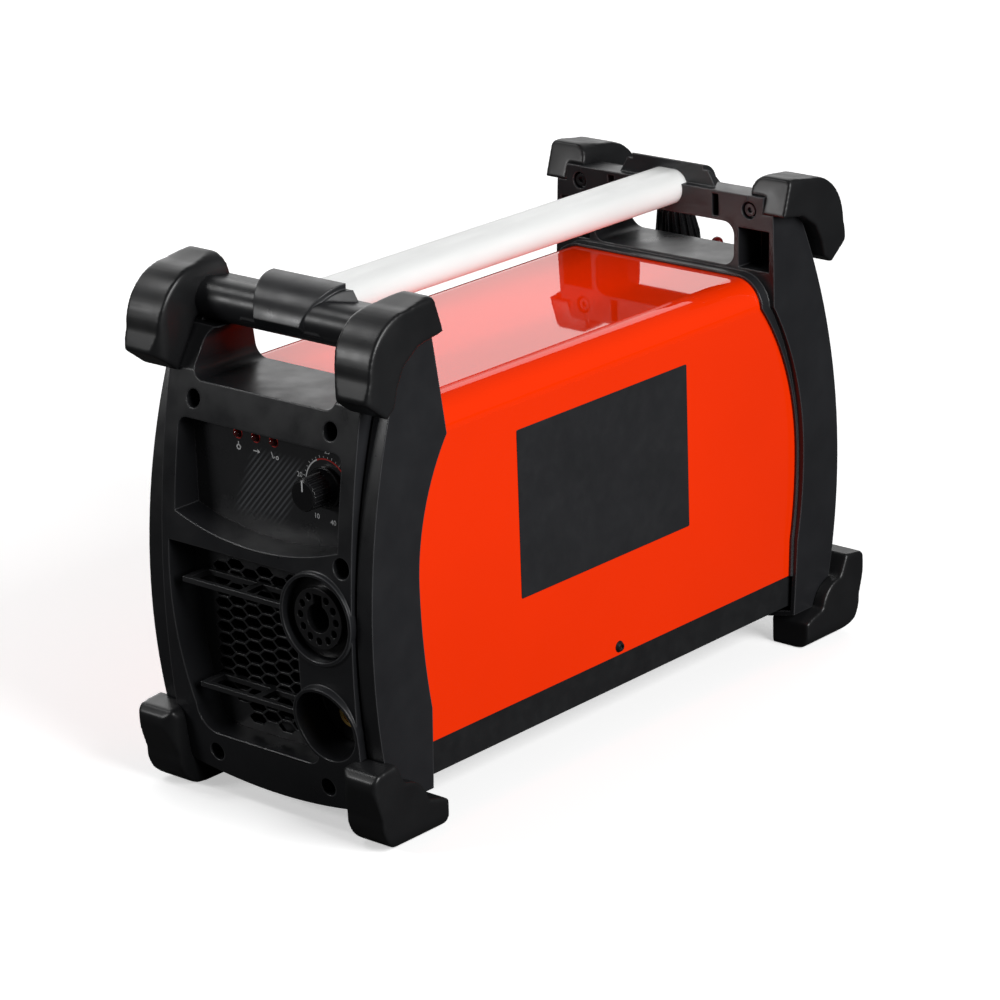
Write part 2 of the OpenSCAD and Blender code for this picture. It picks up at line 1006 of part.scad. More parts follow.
module bumper(front, top) {
    y = top ? top_reach(front) : low_reach;
    z = top ? top_height(front) : 52;
    difference() {
        union() {
            difference() {
                intersection() {
                    across(bumper_in, half_w)
                        translate([y, top ? z : 0])
                            if (top) {
                                top_bumper_side();
                            } else {
                                low_bumper_side();
                            }
                    along(0, low_reach + 1)
                        difference() {
                            translate([half_w, z])
                                bumper_edges(z + 1);
                            if (!top)
                                translate([half_w - foot_edge, foot_edge])
                                    mirror([0, 1])
                                        corner_cut(foot_edge);
                        }
                    linear_extrude(overall_h + 1)
                        translate([half_w, y])
                            bumper_edges(leg_l + 1);
                }
                frame_blank(front);
            }
            if (top)
                bumper_lug(front);
        }
        if (top) {
            rail_wall(front, 10);
            lug_screw_hole(front);
        }
    }
}

// Puts a bumper at its end and side
module place_bumper(front, left, top) {
    color("#1d1e20")
        at_end(front)
            mirror([left ? 1 : 0, 0, 0])
                bumper(front, top);
}

module bumper_front_top_left() { place_bumper(true, true, true); }
module bumper_front_top_right() { place_bumper(true, false, true); }
module bumper_front_low_left() { place_bumper(true, true, false); }
module bumper_front_low_right() { place_bumper(true, false, false); }
module bumper_rear_top_left() { place_bumper(false, true, true); }
module bumper_rear_top_right() { place_bumper(false, false, true); }
module bumper_rear_low_left() { place_bumper(false, true, false); }
module bumper_rear_low_right() { place_bumper(false, false, false); }

// ---- handle and casing

module handle_tube() {
    color("#e9eaec")
        along(-tube_front, tube_rear)
            translate([0, tube_z])
                difference() {
                    flat_oval(tube_w, tube_h);
                    flat_oval(tube_w - 2 * tube_t, tube_h - 2 * tube_t);
                }
}

// The cover's section from the front, inset by g, open below
module cover_outline(g) {
    translate([-cover_half + g, 0])
        square([2 * (cover_half - g), cover_top - cover_bend]);
    translate([-cover_half + cover_bend, 0])
        square([2 * (cover_half - cover_bend), cover_top - g]);
    for (s = [-1, 1])
        translate([s * (cover_half - cover_bend), cover_top - cover_bend])
            circle(cover_bend - g);
}

cover_screw_y = [0];
cover_screw_z = cover_low + 5;

module at_cover_screws() {
    both_sides()
        for (y = cover_screw_y)
            translate([0, y, cover_screw_z])
                children();
}

module cover() {
    color("#fb3205")
        difference() {
            along(-cover_l / 2, cover_l / 2)
                difference() {
                    cover_outline(0);
                    cover_outline(cover_t);
                    translate([-big, -1])
                        square([2 * big, cover_low + 1]);
                }
            at_cover_screws()
                bar_x(0, 0, screw_shank, pan_half - 5, half_w);
        }
}

// Slots in the pan that let air out under the heat sink
slot_pitch = 15;
slot_l = 50;

module base_pan() {
    color("#1b1c1d")
        difference() {
            along(-panel_in, panel_in)
                difference() {
                    translate([-pan_half, pan_low])
                        square([2 * pan_half, pan_side]);
                    translate([-pan_half + pan_t, pan_top])
                        square([2 * (pan_half - pan_t), pan_side]);
                }
            at_cover_screws()
                bar_x(0, 0, screw_shank, pan_half - 5, half_w);
            for (i = [-3 : 3])
                for (y = [-70, 10])
                    translate([i * slot_pitch - 2, y, pan_low - 1])
                        cube([4, slot_l, pan_t + 2]);
        }
}

// ---- inner end panels

end_half = pan_half - 0.5;
end_top = cover_top - cover_t - 1;

module end_sheet() {
    round_box([-end_half, pan_top], [end_half, end_top], cover_bend - 4);
    translate([-end_half, pan_low])
        square([2 * end_half, 30]);
    translate([-low_screw[0] - 7, low_screw[1] - 5])
        square([2 * low_screw[0] + 14, 30]);
}

module front_panel() {
    color("#3a3c3e")
        difference() {
            along(-panel_out, -panel_in)
                end_sheet();
            bar_y(torch_x, torch_z, insert_r + tube_play, -big, 0);
            contact_core(work_body_r + tube_play);
            // air passage behind the grille
            along(-big, 0)
                round_box([vent_left + 10, vent_low + 6], [vent_right - 14, vent_top - 5], 4);
            at_screws()
                bar_y(0, 0, screw_shank, -big, 0);
            bar_y(side_hole[0], side_hole[1], screw_shank, -big, 0);
            bar_y(knob_x, knob_z, pot_r + 1, -big, 0);
        }
}

module rear_panel() {
    color("#3a3c3e")
        difference() {
            along(panel_in, panel_out)
                end_sheet();
            bar_y(0, fan_z, fan_r, 0, big);
            at_screws()
                bar_y(0, 0, screw_shank, 0, big);
            at_fan_screws()
                bar_y(0, 0, fan_screw_r, 0, big);
            along(0, big)
                translate([inlet_x, switch_z])
                    square([switch_w - 4 + 2 * tube_play, switch_h - 4 + 2 * tube_play], center = true);
            bar_y(inlet_x, gland_z, gland_r + tube_play, 0, big);
            bar_y(-reg_x, reg_port_z, reg_port_r + tube_play, 0, big);
        }
}

// ---- control recess

module control_fascia() {
    color("#2c2e31")
        difference() {
            along(-fascia_y, -fascia_y + fascia_t)
                recess_outline(rib - 0.4);
            at_lights()
                bar_y(0, 0, light_r + 0.2, -big, 0);
            bar_y(knob_x, knob_z, pot_neck_r + 0.3, -big, 0);
            bar_y(side_hole[0], side_hole[1], side_ring_r + 0.1, -big, 0);
        }
}

light_x = knob_x - 66;
light_z = recess_top - 7;

module at_lights() {
    for (i = [0, 1, 2])
        translate([light_x + i * light_pitch, 0, light_z])
            children();
}

board_t = 1.6;
board_y = fascia_y - fascia_t - 3.5;
board_corners = [[12 - recess_half, recess_top - 56], [recess_half - 8, recess_top - 1.5]];
board_post = [6, 4.5];

module status_lights() {
    color("#b3160f")
        at_lights() {
            bar_y(0, 0, light_r, -fascia_y - 0.6, -board_y);
            translate([0, -fascia_y - 0.6, 0])
                intersection() {
                    sphere(light_r);
                    translate([-big / 2, -big, -big / 2])
                        cube(big);
                }
        }
}

module control_board() {
    color("#1f5a36")
        difference() {
            union() {
                along(-board_y, -board_y + board_t)
                    round_box(board_corners[0], board_corners[1], 2);
                for (x = [board_corners[0][0] + board_post[0], board_corners[1][0] - board_post[0]])
                    for (z = [board_corners[0][1] + 4, board_corners[1][1] - board_post[1]])
                        bar_y(x, z, 2.5, -board_y + board_t, -panel_out);
                // components on the inner side
                translate([board_corners[0][0] + 20, -board_y + board_t, board_corners[0][1] + 14])
                    cube([18, 2.5, 12]);
                translate([board_corners[0][0] + 50, -board_y + board_t, board_corners[0][1] + 10])
                    cube([12, 3, 8]);
            }
            bar_y(knob_x, knob_z, pot_neck_r + 0.1, -big, 0);
        }
}

pot_neck_r = 4.5;
pot_r = 8;

module potentiometer() {
    color("#8d9094")
        difference() {
            union() {
                bar_y(knob_x, knob_z, pot_neck_r, -fascia_y + 0.5, -board_y + board_t);
                bar_y(knob_x, knob_z, pot_r, -board_y + board_t, -board_y + board_t + 8);
            }
            bar_y(knob_x, knob_z, shaft_r + run_gap, -big, -board_y + board_t + 5);
        }
}

module potentiometer_shaft() {
    color("#c9cccf")
        bar_y(knob_x, knob_z, shaft_r, -fascia_y - knob_l + 4, -board_y + board_t + 4.5);
}

module current_knob() {
    color("#111213")
        difference() {
            union() {
                translate([knob_x, -fascia_y - 0.4, knob_z])
                    rotate([90, 0, 0]) {
                        cylinder(r = skirt_r, h = 2.5);
                        translate([0, 0, 2.5])
                            cylinder(r1 = skirt_r - 1, r2 = knob_r, h = 3);
                        cylinder(r = knob_r, h = knob_l);
                        translate([0, 0, knob_l])
                            cylinder(r1 = knob_r, r2 = knob_r - 1, h = 1);
                    }
                // the raised pointer along the grip
                translate([knob_x - 0.8, -fascia_y - knob_l, knob_z])
                    cube([1.6, knob_l - 3, knob_r + 0.8]);
            }
            bar_y(knob_x, knob_z, shaft_r, -fascia_y - knob_l + 4, 0);
            for (a = [20 : 20 : 340])
                translate([knob_x, 0, knob_z])
                    rotate([0, a, 0])
                        bar_y(0, knob_r + 0.5, 0.9, -big, -fascia_y - 6);
        }
}

// ---- air grille

cell_half = cell_x / 1.5;

module cell() {
    w = cell_half - cell_web / 1.7;
    h = (cell_z - cell_web) / 2;
    polygon([[-w, 0], [-w / 2, -h], [w / 2, -h], [w, 0], [w / 2, h], [-w / 2, h]]);
}

grille_edge = 3;
columns = floor((vent_right - vent_left - 2 * grille_edge) / cell_x);
rows = floor((vent_top - vent_low - 2 * grille_edge) / cell_z) - 1;

module air_grille() {
    color("#232527")
        difference() {
            along(-grille_y, -grille_y + grille_t)
                difference() {
                    vent_outline(rib - 0.4);
                    for (i = [0 : columns - 1])
                        for (j = [0 : rows - 1])
                            translate(cell_place(i, j))
                                cell_in_vent(cell_place(i, j));
                }
            bar_y(torch_x, torch_z, torch_r + 0.3, -big, 0);
            work_core(work_r + 0.3);
        }
}

// Where a cell lies: every other column sits half a cell higher
function cell_place(i, j) = [
    vent_right - grille_edge - cell_half - i * cell_x,
    vent_low + grille_edge + cell_z * (j + (i % 2 == 0 ? 0.6 : 1.1))
];

// A cell is left out where it would break the rim or a collar
module cell_in_vent(place) {
    x = place[0];
    z = place[1];
    edge = vent_left + vent_r - sqrt(pow(vent_r, 2) - pow(z - vent_bow_z, 2));
    corner = (x - edge) + (z - vent_low);
    if (
        x - edge > cell_half + 2
        && corner > vent_corner + cell_half + 8
        && norm([x - torch_x, z - torch_z]) > torch_r + cell_half + 1
        && norm([x - work_x, z - work_z]) > work_r + cell_half + 3
    )
        cell();
}

louvre_in = 1.5;

// One louvre: a shelf with two openings and a web between them
module louvre(z, x0, web_x) {
    difference() {
        intersection() {
            translate([x0, -low_reach, z - louvre_t / 2])
                cube([vent_right - x0, low_reach - grille_y, louvre_t]);
            across(-half_w, half_w)
                mirror([1, 0])
                    intersection() {
                        translate([face_reach - face_r, face_z])
                            circle(face_r - louvre_in, $fn = 240);
                        translate([grille_y, 0])
                            square([big, big]);
                    }
        }
        for (span = [[x0 + 4, web_x - 2.5], [web_x + 2.5, vent_right - 3]])
            translate([span[0], -reach(z) + louvre_in + 3, z - big / 2])
                cube([span[1] - span[0], reach(z) - louvre_in - 3 - grille_y - 3, big]);
        bar_y(torch_x, torch_z, torch_r + 0.3, -big, 0);
        work_core(work_r + 0.3);
    }
}

module grille_louvres() {
    color("#303234") {
        louvre(louvre_high, vent_left + 9, -14);
        louvre(louvre_low, vent_left + 17, -8);
    }
}

// ---- sockets

contact_ring = 13.2;
insert_face = torch_rim - 2.5;

module torch_socket() {
    color("#3b3d40")
        difference() {
            union() {
                bar_y(torch_x, torch_z, insert_r, -insert_face, -panel_in + 14);
                // the flange that stops the insert against the collar's floor
                bar_y(torch_x, torch_z, torch_r - collar_wall - 1, -torch_floor - 2, -torch_floor);
                bar_y(torch_x, torch_z, 5, -panel_in + 14, -panel_in + 26);
            }
            bar_y(torch_x, torch_z, torch_bore, -big, -insert_face + 16);
            translate([torch_x - 3.5, -big, torch_z])
                cube([7, big - insert_face + 9, torch_bore + 5.5]);
            for (i = [1 : contact_count])
                translate([torch_x, 0, torch_z])
                    rotate([0, i * 360 / (contact_count + 1), 0])
                        bar_y(0, contact_ring, contact_r, -big, -insert_face + 12);
            bar_y(torch_x, torch_z, 2.5, -big, 0);
        }
}

module torch_socket_nut() {
    color("#9a9da1")
        difference() {
            translate([torch_x, -panel_in + 6, torch_z])
                rotate([90, 0, 0])
                    cylinder(r = insert_r + 6, h = 6, $fn = 6);
            bar_y(torch_x, torch_z, insert_r, -big, 0);
        }
}

work_body_r = 12.5;
brass_back = work_depth + 26;

module work_socket() {
    color("#202224")
        difference() {
            at_contact() {
                translate([0, 0, -work_depth])
                    cylinder(r = work_body_r + 4, h = 3);
                translate([0, 0, -work_depth - 18])
                    cylinder(r = work_body_r, h = 18);
            }
            contact_core(brass_r);
        }
}

module work_socket_contact() {
    color("#c8a04a")
        at_contact()
            difference() {
                union() {
                    translate([0, 0, -brass_back])
                        cylinder(r = brass_r, h = brass_back - work_depth + 3.5);
                    translate([0, 0, -brass_back])
                        cylinder(r = brass_r + 3, h = 5, $fn = 6);
                }
                translate([0, 0, -work_depth - 16])
                    cylinder(r = brass_bore, h = big);
                translate([brass_bore - 1, -1.4, -work_depth - 12])
                    cube([3, 2.8, big]);
            }
}

// ---- fan

duct_wall = 1.5;
fan_r = fan_size / 2 - 3;
fan_in = panel_in - fan_depth;
fan_pitch = fan_size / 2 - 7;
fan_screw_r = 2.2;
hub_r = 21;
spindle_r = 2;

module at_fan_screws() {
    for (sx = [-1, 1])
        for (sz = [-1, 1])
            translate([sx * fan_pitch, 0, fan_z + sz * fan_pitch])
                children();
}

module fan_frame() {
    color("#17181a")
        difference() {
            union() {
                difference() {
                    along(fan_in, panel_in)
                        translate([-fan_size / 2, fan_z - fan_size / 2])
                            round_box([0, 0], [fan_size, fan_size], 5);
                    bar_y(0, fan_z, fan_r, 0, big);
                    // the waist between the two flanges
                    for (s = [-1, 1]) {
                        translate([s * (fan_r + duct_wall + 15) - 15, fan_in + 5, fan_z - 38])
                            cube([30, fan_depth - 10, 76]);
                        translate([-38, fan_in + 5, fan_z + s * (fan_r + duct_wall + 15) - 15])
                            cube([76, fan_depth - 10, 30]);
                    }
                }
                bar_y(0, fan_z, hub_r, fan_in, fan_in + 4);
                for (a = [45 : 90 : 315])
                    translate([0, 0, fan_z])
                        rotate([0, a, 0])
                            translate([-2.5, fan_in, hub_r - 2])
                                cube([5, 4, fan_r - hub_r + 3]);
                bar_y(0, fan_z, spindle_r, fan_in, fan_in + 20);
            }
            at_fan_screws()
                bar_y(0, 0, fan_screw_r, 0, big);
        }
}

blade_tip = fan_r - 2;

module fan_rotor() {
    color("#2b2d30")
        difference() {
            union() {
                bar_y(0, fan_z, hub_r, fan_in + 5, fan_in + fan_depth - 6);
                for (i = [0 : blade_count - 1])
                    translate([0, fan_in + fan_depth / 2, fan_z])
                        rotate([0, i * 360 / blade_count, 0])
                            fan_blade();
            }
            bar_y(0, fan_z, spindle_r + run_gap, 0, fan_in + 20.5);
        }
}

// A blade set at an angle, with its tip and edges trimmed to the duct
module fan_blade() {
    intersection() {
        rotate([0, 0, 38])
            translate([-17, -1, hub_r - 3])
                cube([34, 2, blade_tip]);
        bar_y(0, 0, blade_tip, -12, 11);
    }
}

module fan_guard() {
    color("#b9bcc0") {
        for (r = [16 : 10 : 56])
            translate([0, panel_out + 3, fan_z])
                rotate([90, 0, 0])
                    rotate_extrude($fn = 96)
                        translate([r, 0])
                            circle(1, $fn = 16);
        for (a = [45 : 90 : 315])
            translate([0, panel_out + 3, fan_z])
                rotate([0, a, 0])
                    translate([-1.5, -1, 15])
                        cube([3, 2, fan_pitch * sqrt(2) - 15]);
        at_fan_screws()
            bar_y(0, 0, 4, panel_out, panel_out + 4);
    }
}

// ---- switch and gland

switch_w = 28;
switch_h = 22;
rocker_w = 19;
rocker_h = 14;
rocker_y = panel_out + 1;
rocker_r = 1.5;

module switch_housing() {
    color("#1a1b1c")
        difference() {
            union() {
                along(panel_out, panel_out + 2.5)
                    translate([inlet_x, switch_z])
                        round_box([-switch_w / 2, -switch_h / 2], [switch_w / 2, switch_h / 2], 2);
                along(panel_out - 24, panel_out)
                    translate([inlet_x, switch_z])
                        square([switch_w - 4, switch_h - 4], center = true);
            }
            along(panel_out - 12, big)
                translate([inlet_x, switch_z])
                    square([rocker_w + 1, rocker_h + 1], center = true);
            bar_x(rocker_y - 3, switch_z, rocker_r + run_gap,
                  inlet_x - rocker_w / 2 - 2, inlet_x + rocker_w / 2 + 2);
        }
}

// The rocker is tipped to its off side
rocker_angle = 9;

module switch_rocker() {
    color("#b01c14") {
        translate([inlet_x, rocker_y - 3, switch_z])
            rotate([rocker_angle, 0, 0])
                intersection() {
                    translate([-rocker_w / 2, -4, -rocker_h / 2 + 0.5])
                        cube([rocker_w, 14, rocker_h - 1]);
                    across(-rocker_w, rocker_w)
                        difference() {
                            translate([-4, -rocker_h / 2])
                                square([10, rocker_h]);
                            translate([28, 0])
                                circle(23);
                        }
                }
        bar_x(rocker_y - 3, switch_z, rocker_r,
              inlet_x - rocker_w / 2 - 1.5, inlet_x + rocker_w / 2 + 1.5);
    }
}

gland_r = 8;

module cable_gland() {
    color("#1e1f21")
        difference() {
            union() {
                bar_y(inlet_x, gland_z, gland_r, panel_in - 8, panel_out);
                translate([inlet_x, panel_out + 5, gland_z])
                    rotate([90, 0, 0])
                        cylinder(r = gland_r + 4, h = 5, $fn = 6);
                bar_y(inlet_x, gland_z, gland_r + 2, panel_out + 5, panel_out + 14);
                translate([inlet_x, panel_out + 20, gland_z])
                    rotate([90, 0, 0])
                        cylinder(r1 = gland_bore + 1.5, r2 = gland_r + 2, h = 6);
                translate([inlet_x, panel_in, gland_z])
                    rotate([90, 0, 0])
                        cylinder(r = gland_r + 4, h = 4, $fn = 6);
            }
            bar_y(inlet_x, gland_z, gland_bore, 0, big);
        }
}

// ---- air regulator

// The regulator's frame: the foot of the knob is the plane z = 0
reg_foot_z = cover_top - 11.5;
reg_body_h = 30;
reg_port_r = 6;
reg_port_z = reg_foot_z - 16;
reg_stem_r = 4;

module at_regulator() {
    translate([-reg_x, reg_y, reg_foot_z])
        rotate([reg_lean, 0, 0])
            children();
}

module regulator_body() {
    color("#4a4d50")
        difference() {
            union() {
                at_regulator() {
                    translate([0, 0, -reg_body_h])
                        cylinder(r = reg_r - 1, h = reg_body_h - 0.5);
                    translate([0, 0, -1])
                        cylinder(r = reg_stem_r, h = reg_h - 5);
                }
                // manifold block beside the regulator, and its port through the rear panel
                translate([-reg_x, reg_y - 9, reg_foot_z - 26])
                    cube([reg_x + 2, 16, 20]);
                bar_y(-reg_x, reg_port_z, reg_port_r, panel_in - 6, reg_y);
                translate([-reg_x, panel_out + 4, reg_port_z])
                    rotate([90, 0, 0])
                        cylinder(r = reg_port_r + 4, h = 4, $fn = 6);
            }
            at_regulator()
                translate([0, 0, -reg_body_h - 1])
                    cylinder(r = inlet_r, h = 12);
        }
}

module regulator_knob() {
    color("#151617")
        at_regulator()
            difference() {
                union() {
                    cylinder(r = reg_r, h = 9);
                    translate([0, 0, 9])
                        cylinder(r1 = reg_r, r2 = reg_r - 3, h = reg_h - 12);
                    translate([0, 0, reg_h - 3])
                        cylinder(r1 = reg_r - 3, r2 = reg_r - 5.5, h = 3);
                }
                translate([0, 0, -1])
                    cylinder(r = reg_stem_r + run_gap, h = reg_h - 4);
                for (i = [0 : flute_count - 1])
                    rotate([0, 0, i * 360 / flute_count])
                        translate([reg_r + 0.2, 0, 4])
                            rotate([0, -8, 0])
                                cylinder(r = 1.3, h = reg_h);
            }
}

cap_x = -6;
cap_r = 3.7;

module port_cap() {
    color("#8f1512")
        translate([cap_x, reg_y - 1, reg_foot_z - 6]) {
            cylinder(r = cap_r, h = 13);
            translate([0, 0, 13])
                intersection() {
                    sphere(cap_r);
                    translate([-cap_r, -cap_r, 0])
                        cube([2 * cap_r, 2 * cap_r, cap_r]);
                }
        }
}

inlet_r = 5;

module air_inlet() {
    color("#c2a25c")
        at_regulator()
            translate([0, 0, -reg_body_h - 16])
                difference() {
                    union() {
                        cylinder(r = 4, h = 6);
                        translate([0, 0, 6])
                            cylinder(r = 3.2, h = 4);
                        translate([0, 0, 10])
                            cylinder(r = inlet_r + 3, h = 6, $fn = 6);
                        translate([0, 0, 16])
                            cylinder(r = inlet_r, h = 11);
                    }
                    translate([0, 0, -1])
                        cylinder(r = 2.2, h = big);
                }
}

// ---- air line inside

valve_l = 30;
hose_r = 3.5;
valve_front = panel_in - 6 - valve_l;

module solenoid_valve() {
    color("#55585c")
        difference() {
            union() {
                translate([-reg_x - 11, valve_front, reg_port_z - 11])
                    cube([22, valve_l, 22]);
                translate([-reg_x, valve_front + valve_l / 2, reg_port_z + 11])
                    cylinder(r = 8, h = 13);
                bar_y(-reg_x, reg_port_z, 4.5, valve_front - 8, valve_front);
            }
            bar_y(-reg_x, reg_port_z, 2, 0, valve_front + 10);
        }
}

// Straight tubes between the points, with a ball in each bend
hose_y = -panel_in + 30.5;
hose_run = [
    [-reg_x, valve_front - 8, reg_port_z],
    [-reg_x, hose_y, reg_port_z],
    [torch_x, hose_y, reg_port_z],
    [torch_x, hose_y, torch_z]
];

module tube_between(a, b, r) {
    d = b - a;
    l = norm(d);
    translate(a)
        rotate([0, acos(d[2] / l), atan2(d[1], d[0])])
            cylinder(r = r, h = l);
}

module air_hose() {
    color("#1b4fa0") {
        for (i = [0 : len(hose_run) - 2])
            tube_between(hose_run[i], hose_run[i + 1], hose_r);
        for (i = [1 : len(hose_run) - 1])
            translate(hose_run[i])
                sphere(hose_r);
        tube_between(hose_run[3], [torch_x, -panel_in + 26, torch_z], hose_r);
    }
}

// ---- power stage

sink_half = 56;
sink_y = [-95, 85];
sink_top = 78;
board_z = sink_top + 14;
board_half = pan_half - 11.8;

module heat_sink() {
    color("#b7babd") {
        translate([-sink_half, sink_y[0], sink_top - 6])
            cube([2 * sink_half, sink_y[1] - sink_y[0], 6]);
        for (x = [-sink_half : 8 : sink_half - 2])
            translate([x, sink_y[0], pan_top])
                cube([2, sink_y[1] - sink_y[0], sink_top - 6 - pan_top]);
    }
}

module power_modules() {
    color("#2a2c2e")
        for (y = [-80, -30, 20, 50])
            for (x = [-34, 14])
                translate([x, y, sink_top])
                    cube([20, 24, board_z - sink_top]);
}

spacer_x = board_half - 16;
spacer_places = [[-spacer_x, -88], [spacer_x, -88], [-spacer_x, 80], [spacer_x, 80]];

module board_spacers() {
    color("#c7b36a")
        for (p = spacer_places)
            translate([p[0], p[1], sink_top])
                cylinder(r = 3.5, h = board_z - sink_top, $fn = 6);
}

module power_board() {
    color("#20633c")
        difference() {
            translate([-board_half, sink_y[0] - 25, board_z])
                cube([2 * board_half, 224, board_t]);
            for (p = spacer_places)
                translate([p[0], p[1], 0])
                    cylinder(r = 1.6, h = big);
        }
}

board_top = board_z + board_t;

module capacitors() {
    color("#23282f")
        for (y = [-95, -60, -25])
            translate([-45, y, board_top]) {
                cylinder(r = 15, h = 44);
                translate([0, 0, 44])
                    cylinder(r1 = 15, r2 = 14, h = 1);
            }
}

module transformer() {
    color("#5c5348") {
        difference() {
            translate([-18, -78, board_top])
                cube([60, 56, 48]);
            translate([-19, -66, board_top + 12])
                cube([62, 32, 24]);
        }
        translate([-10, -86, board_top + 12.2])
            cube([44, 72, 23.6]);
    }
}

module output_inductor() {
    color("#a5622b")
        translate([6, 45, board_top + 11])
            rotate_extrude($fn = 64)
                translate([22, 0])
                    circle(11, $fn = 32);
}

// ---- screws

module socket_screw(l) {
    difference() {
        union() {
            cylinder(r = screw_head, h = head_t);
            translate([0, 0, -l])
                cylinder(r = screw_shank - 0.05, h = l);
        }
        translate([0, 0, head_t - 1.6])
            cylinder(r = 1.9, h = 3, $fn = 6);
    }
}

module front_screws() {
    color("#0f1011") {
        at_end(true)
            at_screws()
                translate([0, head_seat, 0])
                    rotate([-90, 0, 0])
                        socket_screw(head_seat - panel_in);
        translate([side_hole[0], -head_seat, side_hole[1]])
            rotate([90, 0, 0])
                socket_screw(head_seat - panel_in);
    }
}

module rear_screws() {
    color("#0f1011")
        at_screws()
            translate([0, head_seat, 0])
                rotate([-90, 0, 0])
                    socket_screw(head_seat - panel_in);
}

module cover_screws() {
    color("#0f1011")
        at_cover_screws()
            translate([cover_half, 0, 0])
                rotate([0, 90, 0])
                    difference() {
                        union() {
                            cylinder(r1 = 3.6, r2 = 2.4, h = 1.8);
                            translate([0, 0, -6])
                                cylinder(r = screw_shank - 0.05, h = 6);
                        }
                        translate([0, 0, 0.8])
                            cylinder(r = 1.5, h = 3, $fn = 6);
                    }
}

module bumper_screws() {
    color("#0f1011")
        for (front = [false, true])
            at_end(front)
                both_sides()
                    translate([
                        bumper_screw_x, inner_at(front, bumper_screw_z) + wall_t, bumper_screw_z
                    ])
                        rotate([90, 0, 0])
                            socket_screw(12);
}

front_frame();
rear_frame();
handle_tube();
cover();
base_pan();
front_panel();
rear_panel();
bumper_front_top_left();
bumper_front_top_right();
bumper_front_low_left();
bumper_front_low_right();
bumper_rear_top_left();
bumper_rear_top_right();
bumper_rear_low_left();
bumper_rear_low_right();
control_fascia();
control_board();
status_lights();
potentiometer();
potentiometer_shaft();
current_knob();
air_grille();
grille_louvres();
torch_socket();
torch_socket_nut();
work_socket();
work_socket_contact();
fan_frame();
fan_rotor();
fan_guard();
switch_housing();
switch_rocker();
cable_gland();
regulator_body();
regulator_knob();
port_cap();
air_inlet();
solenoid_valve();
air_hose();
heat_sink();
power_modules();
power_board();
board_spacers();
capacitors();
transformer();
output_inductor();
front_screws();
rear_screws();
cover_screws();
bumper_screws();
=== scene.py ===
"""Portable plasma cutter unit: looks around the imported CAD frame.

Metres, X to the right of the control side, -Y out of the control side, Z up.
"""
import json
import math

import bmesh
import bpy
from mathutils import Matrix, Vector

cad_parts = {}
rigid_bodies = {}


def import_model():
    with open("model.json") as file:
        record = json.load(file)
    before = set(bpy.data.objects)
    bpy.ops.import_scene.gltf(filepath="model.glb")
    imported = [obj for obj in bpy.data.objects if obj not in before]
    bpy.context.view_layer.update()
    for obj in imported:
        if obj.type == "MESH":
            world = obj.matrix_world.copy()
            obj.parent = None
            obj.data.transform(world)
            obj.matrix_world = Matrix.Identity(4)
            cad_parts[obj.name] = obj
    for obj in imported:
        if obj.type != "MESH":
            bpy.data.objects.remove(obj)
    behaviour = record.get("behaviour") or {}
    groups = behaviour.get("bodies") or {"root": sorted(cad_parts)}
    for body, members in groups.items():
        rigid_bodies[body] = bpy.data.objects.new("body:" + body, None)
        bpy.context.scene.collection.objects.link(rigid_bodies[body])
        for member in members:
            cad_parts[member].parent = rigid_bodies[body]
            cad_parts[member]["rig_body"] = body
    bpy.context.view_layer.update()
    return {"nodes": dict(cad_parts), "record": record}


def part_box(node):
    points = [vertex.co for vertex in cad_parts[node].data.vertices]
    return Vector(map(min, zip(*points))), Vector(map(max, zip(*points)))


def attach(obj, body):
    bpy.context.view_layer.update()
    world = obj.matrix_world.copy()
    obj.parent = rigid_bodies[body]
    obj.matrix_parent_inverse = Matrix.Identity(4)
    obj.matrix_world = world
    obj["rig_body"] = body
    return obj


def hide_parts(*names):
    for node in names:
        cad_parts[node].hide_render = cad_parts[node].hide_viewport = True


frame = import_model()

MM = 0.001


# ------------------------------------------------------------------ node helpers

